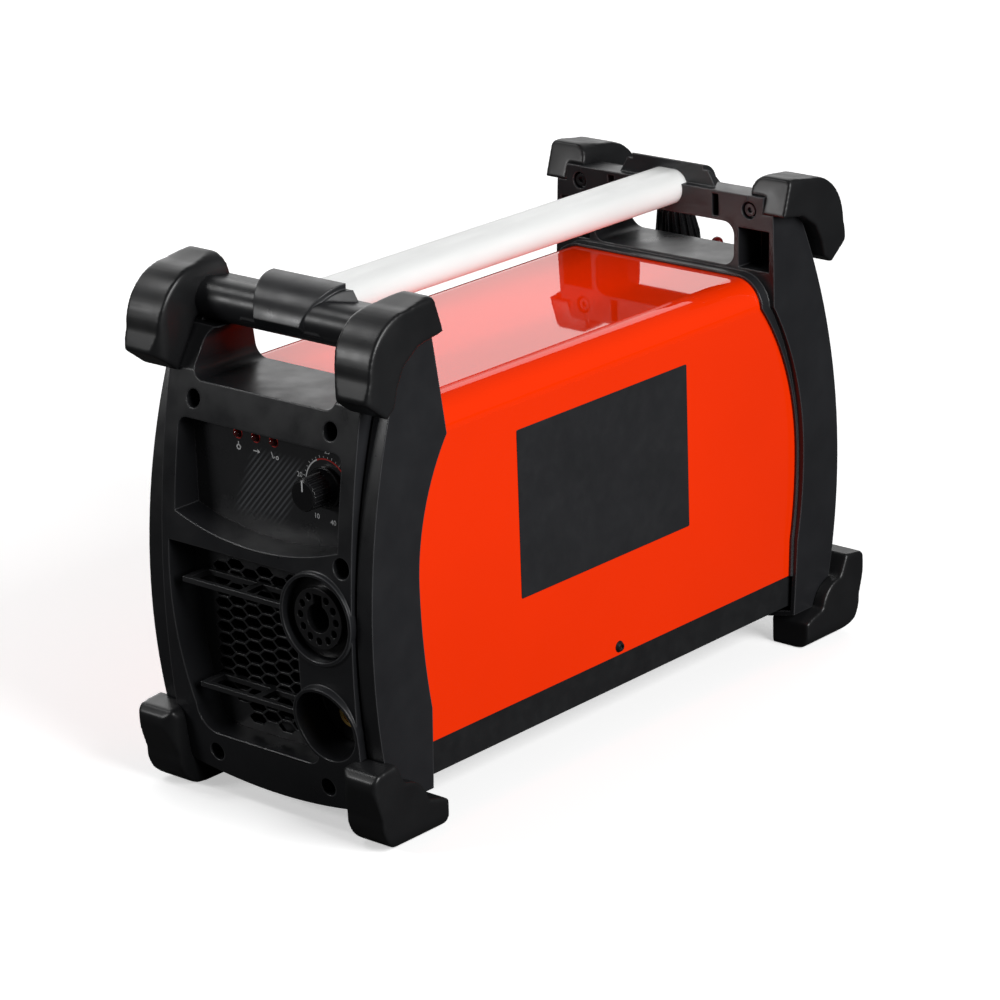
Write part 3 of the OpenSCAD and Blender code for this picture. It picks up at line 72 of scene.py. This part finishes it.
class Shade:
    """A material under construction: one Principled shader and what feeds it."""

    def __init__(self, name, color, roughness, **sockets):
        self.mat = bpy.data.materials.new(name)
        self.mat.use_nodes = True
        self.tree = self.mat.node_tree
        self.tree.nodes.clear()
        out = self.tree.nodes.new("ShaderNodeOutputMaterial")
        self.bsdf = self.tree.nodes.new("ShaderNodeBsdfPrincipled")
        self.tree.links.new(self.bsdf.outputs[0], out.inputs["Surface"])
        self.bsdf.inputs["Base Color"].default_value = (*color, 1)
        self.bsdf.inputs["Roughness"].default_value = roughness
        for key, value in sockets.items():
            self.bsdf.inputs[key.replace("_", " ")].default_value = value
        self.color = color
        self.coords = None
        self.normal = None

    def add(self, kind, **settings):
        node = self.tree.nodes.new("ShaderNode" + kind)
        for key, value in settings.items():
            setattr(node, key, value)
        return node

    def link(self, source, target):
        self.tree.links.new(source, target)

    def point(self):
        """The place on the piece, in metres."""
        if self.coords is None:
            self.coords = self.add("TexCoord").outputs["Object"]
        return self.coords

    def noise(self, scale, detail=3.0, stretch=None):
        node = self.add("TexNoise")
        node.inputs["Scale"].default_value = scale
        node.inputs["Detail"].default_value = detail
        place = self.point()
        if stretch:
            mapping = self.add("Mapping")
            mapping.inputs["Scale"].default_value = stretch
            self.link(place, mapping.inputs["Vector"])
            place = mapping.outputs[0]
        self.link(place, node.inputs["Vector"])
        return node.outputs["Fac"]

    def remap(self, value, low, high, to_low, to_high):
        node = self.add("MapRange")
        ends = {"From Min": low, "From Max": high, "To Min": to_low, "To Max": to_high}
        for key, number in ends.items():
            node.inputs[key].default_value = number
        self.link(value, node.inputs["Value"])
        return node.outputs[0]

    def math(self, operation, a, b=None):
        node = self.add("Math", operation=operation)
        for socket, value in zip(node.inputs, (a, b)):
            if value is None:
                continue
            if isinstance(value, (int, float)):
                socket.default_value = value
            else:
                self.link(value, socket)
        return node.outputs[0]

    def tint(self, mask, color):
        """Blends another colour in where the mask is 1."""
        mix = self.add("MixRGB")
        old = self.bsdf.inputs["Base Color"]
        if old.is_linked:
            self.link(old.links[0].from_socket, mix.inputs["Color1"])
        else:
            mix.inputs["Color1"].default_value = old.default_value
        mix.inputs["Color2"].default_value = (*color, 1)
        self.link(mask, mix.inputs["Fac"])
        self.link(mix.outputs[0], old)

    def vary(self, scale, amount, stretch=None):
        """Slow light and dark mottling of the colour."""
        mask = self.remap(self.noise(scale, 4.0, stretch), 0.35, 0.75, 0.0, 1.0)
        self.tint(mask, tuple(c * (1 - amount) for c in self.color))

    def rough(self, scale, low, high, stretch=None):
        """Patches of duller and shinier surface, between two roughnesses."""
        value = self.remap(self.noise(scale, 3.0, stretch), 0.3, 0.7, low, high)
        self.link(value, self.bsdf.inputs["Roughness"])

    def polish(self, mask, roughness):
        """Rubbed places get this roughness."""
        mix = self.add("MapRange")
        mix.inputs["To Max"].default_value = roughness
        socket = self.bsdf.inputs["Roughness"]
        self.link(mask, mix.inputs["Value"])
        self.link(socket.links[0].from_socket, mix.inputs["To Min"])
        self.link(mix.outputs[0], socket)

    def round_edges(self, radius):
        """Rounds edges in the shading, for moulded and folded forms."""
        bevel = self.add("Bevel", samples=6)
        bevel.inputs["Radius"].default_value = radius
        self.normal = bevel.outputs[0]
        self.link(self.normal, self.bsdf.inputs["Normal"])

    def edge_mask(self, radius, gain=6.0):
        """Near 1 on edges, from how far a rounded normal leaves the real one."""
        bevel = self.add("Bevel", samples=6)
        bevel.inputs["Radius"].default_value = radius
        dot = self.add("VectorMath", operation="DOT_PRODUCT")
        self.link(bevel.outputs[0], dot.inputs[0])
        self.link(self.add("NewGeometry").outputs["Normal"], dot.inputs[1])
        return self.remap(dot.outputs["Value"], 1.0 - 1.0 / gain, 0.995, 1.0, 0.0)

    def bump(self, height, strength, distance):
        node = self.add("Bump")
        node.inputs["Strength"].default_value = strength
        node.inputs["Distance"].default_value = distance
        self.link(height, node.inputs["Height"])
        if self.normal is not None:
            self.link(self.normal, node.inputs["Normal"])
        self.normal = node.outputs[0]
        self.link(self.normal, self.bsdf.inputs["Normal"])


# -------------------------------------------------------------------- materials

def moulded_plastic(name, color, roughness=0.42, grain=2600, wear_and_sheen=0.3, edge=0.0012):
    """Spark-eroded black plastic: fine grain, slow variation, edges painted paler, partly rubbed
    wear and partly a painted highlight.
    """
    s = Shade(name, color, roughness, Specular_IOR_Level=0.4)
    s.round_edges(edge)
    s.vary(18, 0.25)
    s.rough(60, roughness - 0.06, roughness + 0.08)
    edges = s.edge_mask(edge)
    # edges painted paler: partly rubbed wear, partly a painted highlight along the edge lines
    s.tint(s.math("MULTIPLY", edges, wear_and_sheen), tuple(min(1, c * 3 + 0.09) for c in color))
    s.polish(edges, 0.2)
    s.bump(s.noise(grain, 2.0), 0.22, 0.00012)
    return s.mat


def soft_rubber(name):
    """Bumper rubber: smooth satin with faint flow marks."""
    s = Shade(name, (0.011, 0.0113, 0.0122), 0.34, Specular_IOR_Level=0.42)
    s.vary(14, 0.3)
    s.rough(45, 0.3, 0.44)
    s.bump(s.noise(1900, 2.0), 0.16, 0.0001)
    return s.mat


def gloss_paint(name, color, inside):
    """Powder coat with a gloss skin and a trace of orange peel; inward faces painted near black as
    shade inside the unit.
    """
    s = Shade(
        name, color, 0.35,
        Coat_Weight=1.0, Coat_Roughness=0.03, Coat_IOR=1.55, Specular_IOR_Level=0.0,
    )
    s.vary(9, 0.05)
    centre = s.add("VectorMath", operation="SUBTRACT")
    s.link(s.point(), centre.inputs[0])
    centre.inputs[1].default_value = inside
    flat = s.add("VectorMath", operation="MULTIPLY")
    s.link(centre.outputs[0], flat.inputs[0])
    flat.inputs[1].default_value = (1, 0, 1)
    facing = s.add("VectorMath", operation="DOT_PRODUCT")
    s.link(flat.outputs[0], facing.inputs[0])
    s.link(s.add("NewGeometry").outputs["Normal"], facing.inputs[1])
    # painted shade: faces turned towards the unit's middle go near black, for the dark inside
    s.tint(s.math("LESS_THAN", facing.outputs["Value"], -0.01), (0.02, 0.021, 0.022))
    s.bump(s.noise(420, 2.0), 0.035, 0.0002)
    return s.mat


def satin_paint(name, color, roughness=0.4):
    s = Shade(name, color, roughness, Specular_IOR_Level=0.5)
    s.round_edges(0.0006)
    s.vary(25, 0.2)
    s.rough(120, roughness - 0.06, roughness + 0.08)
    s.bump(s.noise(1500, 2.0), 0.15, 0.0001)
    return s.mat


def metal(name, color, roughness, stretch=None, edge=0.0004, metallic=1.0):
    """Metal with fine tool or rolling marks along one direction."""
    s = Shade(name, color, roughness, Metallic=metallic)
    s.round_edges(edge)
    s.vary(40, 0.12, stretch)
    s.rough(180, roughness - 0.06, roughness + 0.1, stretch)
    s.bump(s.noise(1400, 3.0, stretch), 0.08, 0.00008)
    return s.mat


def circuit_board(name):
    """Solder mask with copper tracks under it."""
    s = Shade(name, (0.012, 0.12, 0.04), 0.3, Specular_IOR_Level=0.5)
    tracks = s.add("TexBrick", offset=0.5, squash=1.0)
    tracks.inputs["Scale"].default_value = 90
    tracks.inputs["Mortar Size"].default_value = 0.03
    s.link(s.point(), tracks.inputs["Vector"])
    s.tint(s.math("MULTIPLY", tracks.outputs["Fac"], 0.6), (0.05, 0.26, 0.09))
    s.rough(200, 0.25, 0.4)
    return s.mat


def winding(name):
    """Enamelled copper laid in close turns."""
    s = Shade(name, (0.5, 0.18, 0.06), 0.3, Metallic=0.9)
    wave = s.add("TexWave", wave_type="RINGS")
    wave.inputs["Scale"].default_value = 260
    s.link(s.point(), wave.inputs["Vector"])
    s.bump(wave.outputs["Fac"], 0.6, 0.0004)
    s.vary(60, 0.3)
    return s.mat


def laminated_core(name):
    s = Shade(name, (0.16, 0.13, 0.1), 0.5, Metallic=0.5)
    wave = s.add("TexWave", wave_type="BANDS", bands_direction="Y")
    wave.inputs["Scale"].default_value = 420
    s.link(s.point(), wave.inputs["Vector"])
    s.bump(wave.outputs["Fac"], 0.4, 0.0003)
    s.vary(50, 0.35)
    return s.mat


def lens(name, color):
    """A small clear-tinted light, off."""
    s = Shade(name, color, 0.12, Coat_Weight=1.0, Coat_Roughness=0.05)
    s.vary(300, 0.5)
    return s.mat


def printed_film(name):
    """The fascia's film: near black, with slanting hatch lines fading out at their ends."""
    s = Shade(name, (0.027, 0.0275, 0.0295), 0.3, Specular_IOR_Level=0.5)
    parts = s.add("SeparateXYZ")
    s.link(s.point(), parts.inputs[0])
    x, z = parts.outputs["X"], parts.outputs["Z"]
    across = s.math("MULTIPLY", x, math.cos(HATCH_TILT))
    slant = s.math("SUBTRACT", across, s.math("MULTIPLY", z, math.sin(HATCH_TILT)))
    wave = s.math("SINE", s.math("MULTIPLY", slant, 2 * math.pi / HATCH_PITCH))
    lines = s.remap(wave, 0.0, 0.5, 0.0, 1.0)
    rise = s.math("SUBTRACT", z, HATCH_Z)
    lean = s.math("MULTIPLY", rise, HATCH_LEAN)
    along_x = s.math("ABSOLUTE", s.math("SUBTRACT", s.math("SUBTRACT", x, HATCH_X), lean))
    fade_x = s.remap(along_x, HATCH_HALF * 0.7, HATCH_HALF, 1.0, 0.0)
    fade_z = s.remap(s.math("ABSOLUTE", rise), HATCH_RISE[0], HATCH_RISE[1], 1.0, 0.0)
    mask = s.math("MULTIPLY", fade_x, fade_z)
    s.tint(s.math("MULTIPLY", s.math("MULTIPLY", lines, mask), 0.85), (0.13, 0.135, 0.145))
    s.rough(90, 0.26, 0.34)
    s.bump(s.noise(1200, 2.0), 0.06, 0.0001)
    return s.mat


def print_ink(name, color):
    s = Shade(name, color, 0.45)
    s.vary(500, 0.2)
    return s.mat


def floor_white(name):
    """Pale floor that shows white to the camera and still keeps the shadow."""
    mat = bpy.data.materials.new(name)
    mat.use_nodes = True
    tree = mat.node_tree
    tree.nodes.clear()
    out = tree.nodes.new("ShaderNodeOutputMaterial")
    path = tree.nodes.new("ShaderNodeLightPath")
    shown = tree.nodes.new("ShaderNodeBsdfDiffuse")
    shown.inputs["Color"].default_value = (0.93, 0.93, 0.93, 1)
    bounced = tree.nodes.new("ShaderNodeBsdfDiffuse")
    bounced.inputs["Color"].default_value = (FLOOR_BOUNCE, FLOOR_BOUNCE, FLOOR_BOUNCE, 1)
    glow = tree.nodes.new("ShaderNodeEmission")
    glow.inputs["Color"].default_value = (1, 1, 1, 1)
    glow.inputs["Strength"].default_value = FLOOR_GLOW
    bright = tree.nodes.new("ShaderNodeAddShader")
    tree.links.new(shown.outputs[0], bright.inputs[0])
    tree.links.new(glow.outputs[0], bright.inputs[1])
    choice = tree.nodes.new("ShaderNodeMixShader")
    tree.links.new(path.outputs["Is Camera Ray"], choice.inputs[0])
    tree.links.new(bounced.outputs[0], choice.inputs[1])
    tree.links.new(bright.outputs[0], choice.inputs[2])
    tree.links.new(choice.outputs[0], out.inputs["Surface"])
    return mat


HATCH_TILT = math.radians(42)
HATCH_PITCH = 2.75 * MM
HATCH_X = -6 * MM
HATCH_Z = 188 * MM
HATCH_HALF = 22 * MM
HATCH_RISE = (14 * MM, 22 * MM)
HATCH_LEAN = 0.45
FLOOR_GLOW = 0.46
FLOOR_BOUNCE = 0.05

MATERIALS = {
    "frame_plastic": moulded_plastic("frame_plastic", (0.0165, 0.017, 0.019), 0.33, wear_and_sheen=0.6),
    "bumper_rubber": soft_rubber("bumper_rubber"),
    "handle_metal": metal("handle_metal", (0.96, 0.97, 0.96), 0.34, (1, 0.2, 1), metallic=0.05),
    "cover_paint": gloss_paint("cover_paint", (0.96, 0.034, 0.001), (0, 0, 0.15)),
    "pan_paint": satin_paint("pan_paint", (0.012, 0.0125, 0.0135), 0.38),
    "panel_paint": satin_paint("panel_paint", (0.03, 0.031, 0.033), 0.5),
    "fascia_plastic": printed_film("fascia_plastic"),
    "circuit_board": circuit_board("circuit_board"),
    "light_red": lens("light_red", (0.14, 0.004, 0.003)),
    "bare_steel": metal("bare_steel", (0.55, 0.56, 0.58), 0.3),
    "knob_plastic": moulded_plastic("knob_plastic", (0.008, 0.008, 0.009), 0.26, 2200, 0.4, 0.0007),
    "grille_plastic": moulded_plastic(
        "grille_plastic", (0.021, 0.0215, 0.023), 0.38, 2600, 0.5, 0.0005),
    "socket_plastic": moulded_plastic(
        "socket_plastic", (0.012, 0.012, 0.013), 0.34, 2400, 0.25, 0.0005),
    "brass": metal("brass", (0.9, 0.6, 0.18), 0.3, metallic=0.5),
    "rocker_red": moulded_plastic("rocker_red", (0.28, 0.008, 0.006), 0.28, 1500, 0.1, 0.0005),
    "cast_metal": satin_paint("cast_metal", (0.05, 0.052, 0.055), 0.42),
    "hose_blue": moulded_plastic("hose_blue", (0.01, 0.05, 0.3), 0.3, 900, 0.05, 0.0004),
    "sink_aluminium": metal("sink_aluminium", (0.66, 0.67, 0.68), 0.36, (1, 0.03, 1)),
    "part_plastic": moulded_plastic("part_plastic", (0.015, 0.017, 0.022), 0.4, 1800, 0.2, 0.0005),
    "core_steel": laminated_core("core_steel"),
    "winding_copper": winding("winding_copper"),
    "screw_black": metal("screw_black", (0.035, 0.036, 0.038), 0.32, metallic=0.7),
}
PLATE_GREY = satin_paint("plate_grey", (0.02, 0.0205, 0.0225), 0.34)
INK_WHITE = print_ink("ink_white", (0.9, 0.91, 0.92))
INK_RED = print_ink("ink_red", (0.62, 0.03, 0.025))

slot_of = {part["node"]: part["material_slot"] for part in frame["record"]["subparts"]}


def set_material(obj, mat):
    obj.data.materials.clear()
    obj.data.materials.append(mat)


for node, obj in frame["nodes"].items():
    set_material(obj, MATERIALS[slot_of[node]])


# ------------------------------------------------------------------ mesh helpers

def new_object(name, mesh, mat, body="unit"):
    obj = bpy.data.objects.new(name, mesh)
    bpy.context.scene.collection.objects.link(obj)
    set_material(obj, mat)
    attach(obj, body)
    return obj


def from_bmesh(name, bm, mat, body="unit"):
    bmesh.ops.recalc_face_normals(bm, faces=bm.faces)
    mesh = bpy.data.meshes.new(name)
    bm.to_mesh(mesh)
    bm.free()
    return new_object(name, mesh, mat, body)


def as_mesh(obj):
    """The object's shape with its modifiers, or its letters, turned into a mesh."""
    bpy.context.view_layer.update()
    graph = bpy.context.evaluated_depsgraph_get()
    return bpy.data.meshes.new_from_object(obj.evaluated_get(graph))


def softened(node, voxel, passes, keep):
    """Stands for a CAD node: the same form with its moulded edges really rounded."""
    source = frame["nodes"][node]
    copy = bpy.data.objects.new(node + "_soft", source.data.copy())
    bpy.context.scene.collection.objects.link(copy)
    remesh = copy.modifiers.new("remesh", "REMESH")
    remesh.mode = "VOXEL"
    remesh.voxel_size = voxel
    smooth = copy.modifiers.new("smooth", "SMOOTH")
    smooth.factor = 0.5
    smooth.iterations = passes
    thin = copy.modifiers.new("thin", "DECIMATE")
    thin.ratio = keep
    done = as_mesh(copy)
    bpy.data.objects.remove(copy)
    for face in done.polygons:
        face.use_smooth = True
    kind = slot_of[node]
    piece = new_object(node + "_moulding", done, MATERIALS[kind], source["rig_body"])
    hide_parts(node)


# ------------------------------------------------------------- softened mouldings

BUMPER_VOXEL = 1.1 * MM
BUMPER_PASSES = 6
BUMPER_KEEP = 0.35
for end in ("front", "rear"):
    for level in ("top", "low"):
        for side in ("left", "right"):
            softened(f"bumper_{end}_{level}_{side}", BUMPER_VOXEL, BUMPER_PASSES, BUMPER_KEEP)


# ------------------------------------------------------------------ side plate

COVER_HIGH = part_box("cover")[1]
PLATE = {"y0": -84.7 * MM, "y1": 66.9 * MM, "z0": 107.3 * MM, "z1": 206.8 * MM}
PLATE_THICK = 0.3 * MM
PLATE_CORNER = 1.0 * MM


def side_plate():
    """The bare rectangle on the cover's right flank."""
    bm = bmesh.new()
    bmesh.ops.create_cube(bm, size=1)
    size = Vector((PLATE_THICK, PLATE["y1"] - PLATE["y0"], PLATE["z1"] - PLATE["z0"]))
    middle = Vector((
        COVER_HIGH.x + PLATE_THICK / 2,
        (PLATE["y0"] + PLATE["y1"]) / 2,
        (PLATE["z0"] + PLATE["z1"]) / 2,
    ))
    bmesh.ops.scale(bm, vec=size, verts=bm.verts)
    bmesh.ops.translate(bm, vec=middle, verts=bm.verts)
    across = [e for e in bm.edges if abs((e.verts[0].co - e.verts[1].co).normalized().x) > 0.9]
    bmesh.ops.bevel(bm, geom=across, offset=PLATE_CORNER, segments=4, affect="EDGES", profile=0.5)
    from_bmesh("side_plate", bm, PLATE_GREY)


side_plate()


# ------------------------------------------------------------------ fascia print

INK_THICK = 0.08 * MM
FACE_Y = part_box("control_fascia")[0].y - INK_THICK
KNOB_LOW, KNOB_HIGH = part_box("potentiometer_shaft")
KNOB_X = (KNOB_LOW.x + KNOB_HIGH.x) / 2
KNOB_Z = (KNOB_LOW.z + KNOB_HIGH.z) / 2
KNOB_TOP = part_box("current_knob")[0].y


def flat_shape(name, loops, mat, y=FACE_Y, body="unit"):
    """Printed shapes that face the front, each a loop of (x, z) points, a film thick."""
    bm = bmesh.new()
    for loop in loops:
        verts = [bm.verts.new((x, y, z)) for x, z in loop]
        bm.faces.new(verts)
    ret = bmesh.ops.extrude_face_region(bm, geom=list(bm.faces))
    moved = [v for v in ret["geom"] if isinstance(v, bmesh.types.BMVert)]
    bmesh.ops.translate(bm, vec=(0, INK_THICK, 0), verts=moved)
    from_bmesh(name, bm, mat, body)


def on_circle(x, z, radius, angle):
    """A point at an angle clockwise from straight up, as seen from the control side."""
    return x + radius * math.sin(angle), z + radius * math.cos(angle)


def ring_part(x, z, r0, r1, start, end, steps=24):
    """Quads of a ring's stretch between two angles."""
    quads = []
    for i in range(steps):
        a = start + (end - start) * i / steps
        b = start + (end - start) * (i + 1) / steps
        corners = ((r0, a), (r1, a), (r1, b), (r0, b))
        quads.append([on_circle(x, z, r, angle) for r, angle in corners])
    return quads


def bar(x0, z0, x1, z1, width):
    """A straight stroke between two points."""
    along = Vector((x1 - x0, z1 - z0)).normalized()
    side = Vector((-along.y, along.x)) * width / 2
    return [
        (x0 + side.x, z0 + side.y), (x1 + side.x, z1 + side.y),
        (x1 - side.x, z1 - side.y), (x0 - side.x, z0 - side.y),
    ]


def lettering(name, text, x, z, height, mat):
    """Plain dial figures on the fascia, as a mesh."""
    curve = bpy.data.curves.new(name, "FONT")
    curve.body = text
    curve.size = height
    curve.align_x = "CENTER"
    curve.align_y = "CENTER"
    curve.extrude = INK_THICK / 2
    curve.resolution_u = 3
    holder = bpy.data.objects.new(name + "_text", curve)
    bpy.context.scene.collection.objects.link(holder)
    mesh = as_mesh(holder)
    bpy.data.objects.remove(holder)
    mesh.transform(Matrix.Translation((x, FACE_Y, z)) @ Matrix.Rotation(math.radians(90), 4, "X"))
    new_object(name, mesh, mat)


SCALE_R = 15.2 * MM
ARC_START, ARC_TURN, ARC_END = math.radians(-80), math.radians(-25), math.radians(105)
ARC_WIDTH = 0.8 * MM
TICKS, TICK_START, TICK_TURN = 28, -140, 280
TICK_FOOT, TICK_SHORT, TICK_LONG, TICK_WIDTH = 1.2 * MM, 2.0 * MM, 2.6 * MM, 0.35 * MM
FIGURE_R, FIGURE_HEIGHT = SCALE_R + 5.2 * MM, 4.2 * MM
# each figure and its angle clockwise from straight up
DIAL_FIGURES = {"10": 205, "15": 243, "20": 279, "25": 4, "30": 57, "40": 170}


def dial():
    """The current scale round the knob: an arc in two colours, ticks and figures."""
    arcs = (
        ("dial_arc_white", ARC_START, ARC_TURN, INK_WHITE),
        ("dial_arc_red", ARC_TURN, ARC_END, INK_RED),
    )
    for name, start, end, ink in arcs:
        arc = ring_part(KNOB_X, KNOB_Z, SCALE_R, SCALE_R + ARC_WIDTH, start, end, 40)
        flat_shape(name, arc, ink)
    ticks = []
    for i in range(TICKS):
        angle = math.radians(TICK_START + i * TICK_TURN / (TICKS - 1))
        tip = TICK_LONG if i % 3 == 0 else TICK_SHORT
        inner = on_circle(KNOB_X, KNOB_Z, SCALE_R + TICK_FOOT, angle)
        outer = on_circle(KNOB_X, KNOB_Z, SCALE_R + tip, angle)
        ticks.append(bar(*inner, *outer, TICK_WIDTH))
    flat_shape("dial_ticks", ticks, INK_WHITE)
    for figure, angle in DIAL_FIGURES.items():
        x, z = on_circle(KNOB_X, KNOB_Z, FIGURE_R, math.radians(angle))
        lettering("dial_figure_" + figure, figure, x, z, FIGURE_HEIGHT, INK_WHITE)


dial()


SIGN_DROP = 8.2 * MM


def lights_print():
    """A printed ring round each status light and a plain sign below it."""
    low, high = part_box("status_lights")
    z = (low.z + high.z) / 2
    radius = (high.z - low.z) / 2
    first, last = low.x + radius, high.x - radius
    rings, signs = [], []
    for i in range(3):
        x = first + (last - first) * i / 2
        rings += ring_part(x, z, radius + 0.5 * MM, radius + 1.1 * MM, 0, 2 * math.pi, 32)
    below = z - SIGN_DROP
    # an open ring with a stem, an arrow, and a hooked stroke with a small ring
    x = first
    signs += ring_part(x, below, 0.9 * MM, 1.7 * MM, math.radians(20), math.radians(340), 20)
    signs.append(bar(x, below + 1.0 * MM, x, below + 3.2 * MM, 0.7 * MM))
    x = (first + last) / 2
    signs.append(bar(x - 2.4 * MM, below, x + 1.0 * MM, below, 0.6 * MM))
    tip = (x + 2.8 * MM, below)
    signs.append([(x + 0.8 * MM, below - 1.3 * MM), tip, (x + 0.8 * MM, below + 1.3 * MM)])
    x = last
    signs.append(bar(x - 2.2 * MM, below + 1.8 * MM, x - 0.9 * MM, below - 1.8 * MM, 0.6 * MM))
    signs.append(bar(x - 0.9 * MM, below - 1.8 * MM, x + 0.2 * MM, below - 0.6 * MM, 0.6 * MM))
    signs += ring_part(x + 2.2 * MM, below - 1.0 * MM, 0.6 * MM, 1.2 * MM, 0, 2 * math.pi, 16)
    flat_shape("light_rings", rings, INK_RED)
    flat_shape("light_signs", signs, INK_WHITE)


lights_print()


def knob_pointer():
    """White line on the knob's end, from near its middle to its rim."""
    line = bar(KNOB_X, KNOB_Z + 2.5 * MM, KNOB_X, KNOB_Z + 8.4 * MM, 0.9 * MM)
    top = KNOB_TOP - 0.05 * MM
    flat_shape("knob_pointer", [line], INK_WHITE, top, "current_knob")


knob_pointer()


# ----------------------------------------------------------- camera and lights

# the photograph's camera: degrees, then lens and sensor in mm and distance in metres
AZIMUTH, ELEVATION, ROLL = 41.502, 18.997, 2.021
LENS, SENSOR, DISTANCE = 141.24, 36, 2.3047
TARGET = Vector((0, -2, 127.139)) * MM
SLIDE = -5.878 * MM


def heading(azimuth, elevation):
    """Direction from the part: 0 is the control side and 90 its right, in degrees."""
    a, e = math.radians(azimuth), math.radians(elevation)
    return Vector((math.sin(a) * math.cos(e), -math.cos(a) * math.cos(e), math.sin(e)))


def add_camera():
    back = heading(AZIMUTH, ELEVATION)
    right = Vector((math.cos(math.radians(AZIMUTH)), math.sin(math.radians(AZIMUTH)), 0))
    up = back.cross(right)
    roll = math.radians(ROLL)
    side = right * math.cos(roll) - up * math.sin(roll)
    top = up * math.cos(roll) + right * math.sin(roll)
    turn = Matrix((side, top, back)).transposed().to_4x4()
    turn.translation = TARGET + right * SLIDE + back * DISTANCE
    camera = bpy.data.cameras.new("camera")
    camera.lens = LENS
    camera.sensor_width = SENSOR
    camera.clip_end = 50
    obj = bpy.data.objects.new("camera", camera)
    bpy.context.scene.collection.objects.link(obj)
    obj.matrix_world = turn
    bpy.context.scene.camera = obj


def add_softbox(name, azimuth, elevation, distance, width, height, power, aim):
    data = bpy.data.lights.new(name, "AREA")
    data.shape = "RECTANGLE"
    data.size, data.size_y = width, height
    data.energy = power
    obj = bpy.data.objects.new(name, data)
    bpy.context.scene.collection.objects.link(obj)
    place = Vector(aim) + heading(azimuth, elevation) * distance
    turn = (place - Vector(aim)).to_track_quat("Z", "Y")
    obj.matrix_world = Matrix.Translation(place) @ turn.to_matrix().to_4x4()


def add_floor():
    bm = bmesh.new()
    bmesh.ops.create_grid(bm, x_segments=1, y_segments=1, size=FLOOR_SIZE)
    mesh = bpy.data.meshes.new("floor")
    bm.to_mesh(mesh)
    bm.free()
    floor = bpy.data.objects.new("floor", mesh)
    bpy.context.scene.collection.objects.link(floor)
    set_material(floor, floor_white("floor_white"))


def add_world():
    """White for the camera, also through clear pieces, and nearly dark for other rays."""
    world = bpy.data.worlds.new("studio")
    bpy.context.scene.world = world
    world.use_nodes = True
    tree = world.node_tree
    tree.nodes.clear()
    out = tree.nodes.new("ShaderNodeOutputWorld")
    ground = tree.nodes.new("ShaderNodeBackground")
    ground.inputs["Color"].default_value = (1, 1, 1, 1)
    path = tree.nodes.new("ShaderNodeLightPath")
    seen = tree.nodes.new("ShaderNodeMath")
    seen.operation = "MAXIMUM"
    tree.links.new(path.outputs["Is Camera Ray"], seen.inputs[0])
    tree.links.new(path.outputs["Is Transmission Ray"], seen.inputs[1])
    level = tree.nodes.new("ShaderNodeMapRange")
    level.inputs["To Min"].default_value = WORLD_FILL
    level.inputs["To Max"].default_value = 1.0
    tree.links.new(seen.outputs[0], level.inputs["Value"])
    tree.links.new(level.outputs[0], ground.inputs["Strength"])
    tree.links.new(ground.outputs[0], out.inputs["Surface"])


FLOOR_SIZE = 14
WORLD_FILL = 0.05
MIDDLE = (0, 0, 0.15)
FRONT_BAR = (-0.03, -0.19, 0.285)

# name, azimuth, elevation, distance, width, height, watts, aimed at
SOFTBOXES = (
    ("key", 86, 25, 2.2, 1.3, 1.3, 54, MIDDLE),
    ("fill", -108, 12, 2.2, 1.2, 1.2, 9, MIDDLE),
    ("edges", -62, 46, 1.7, 0.35, 0.35, 3.5, MIDDLE),
    ("rear", 221, 26, 2.6, 3.2, 1.8, 26, MIDDLE),
    ("left", -38, 16, 1.2, 0.4, 0.15, 4, FRONT_BAR),
)

add_camera()
add_world()
add_floor()
for light in SOFTBOXES:
    add_softbox(*light)
bpy.context.scene.view_settings.view_transform = "Standard"
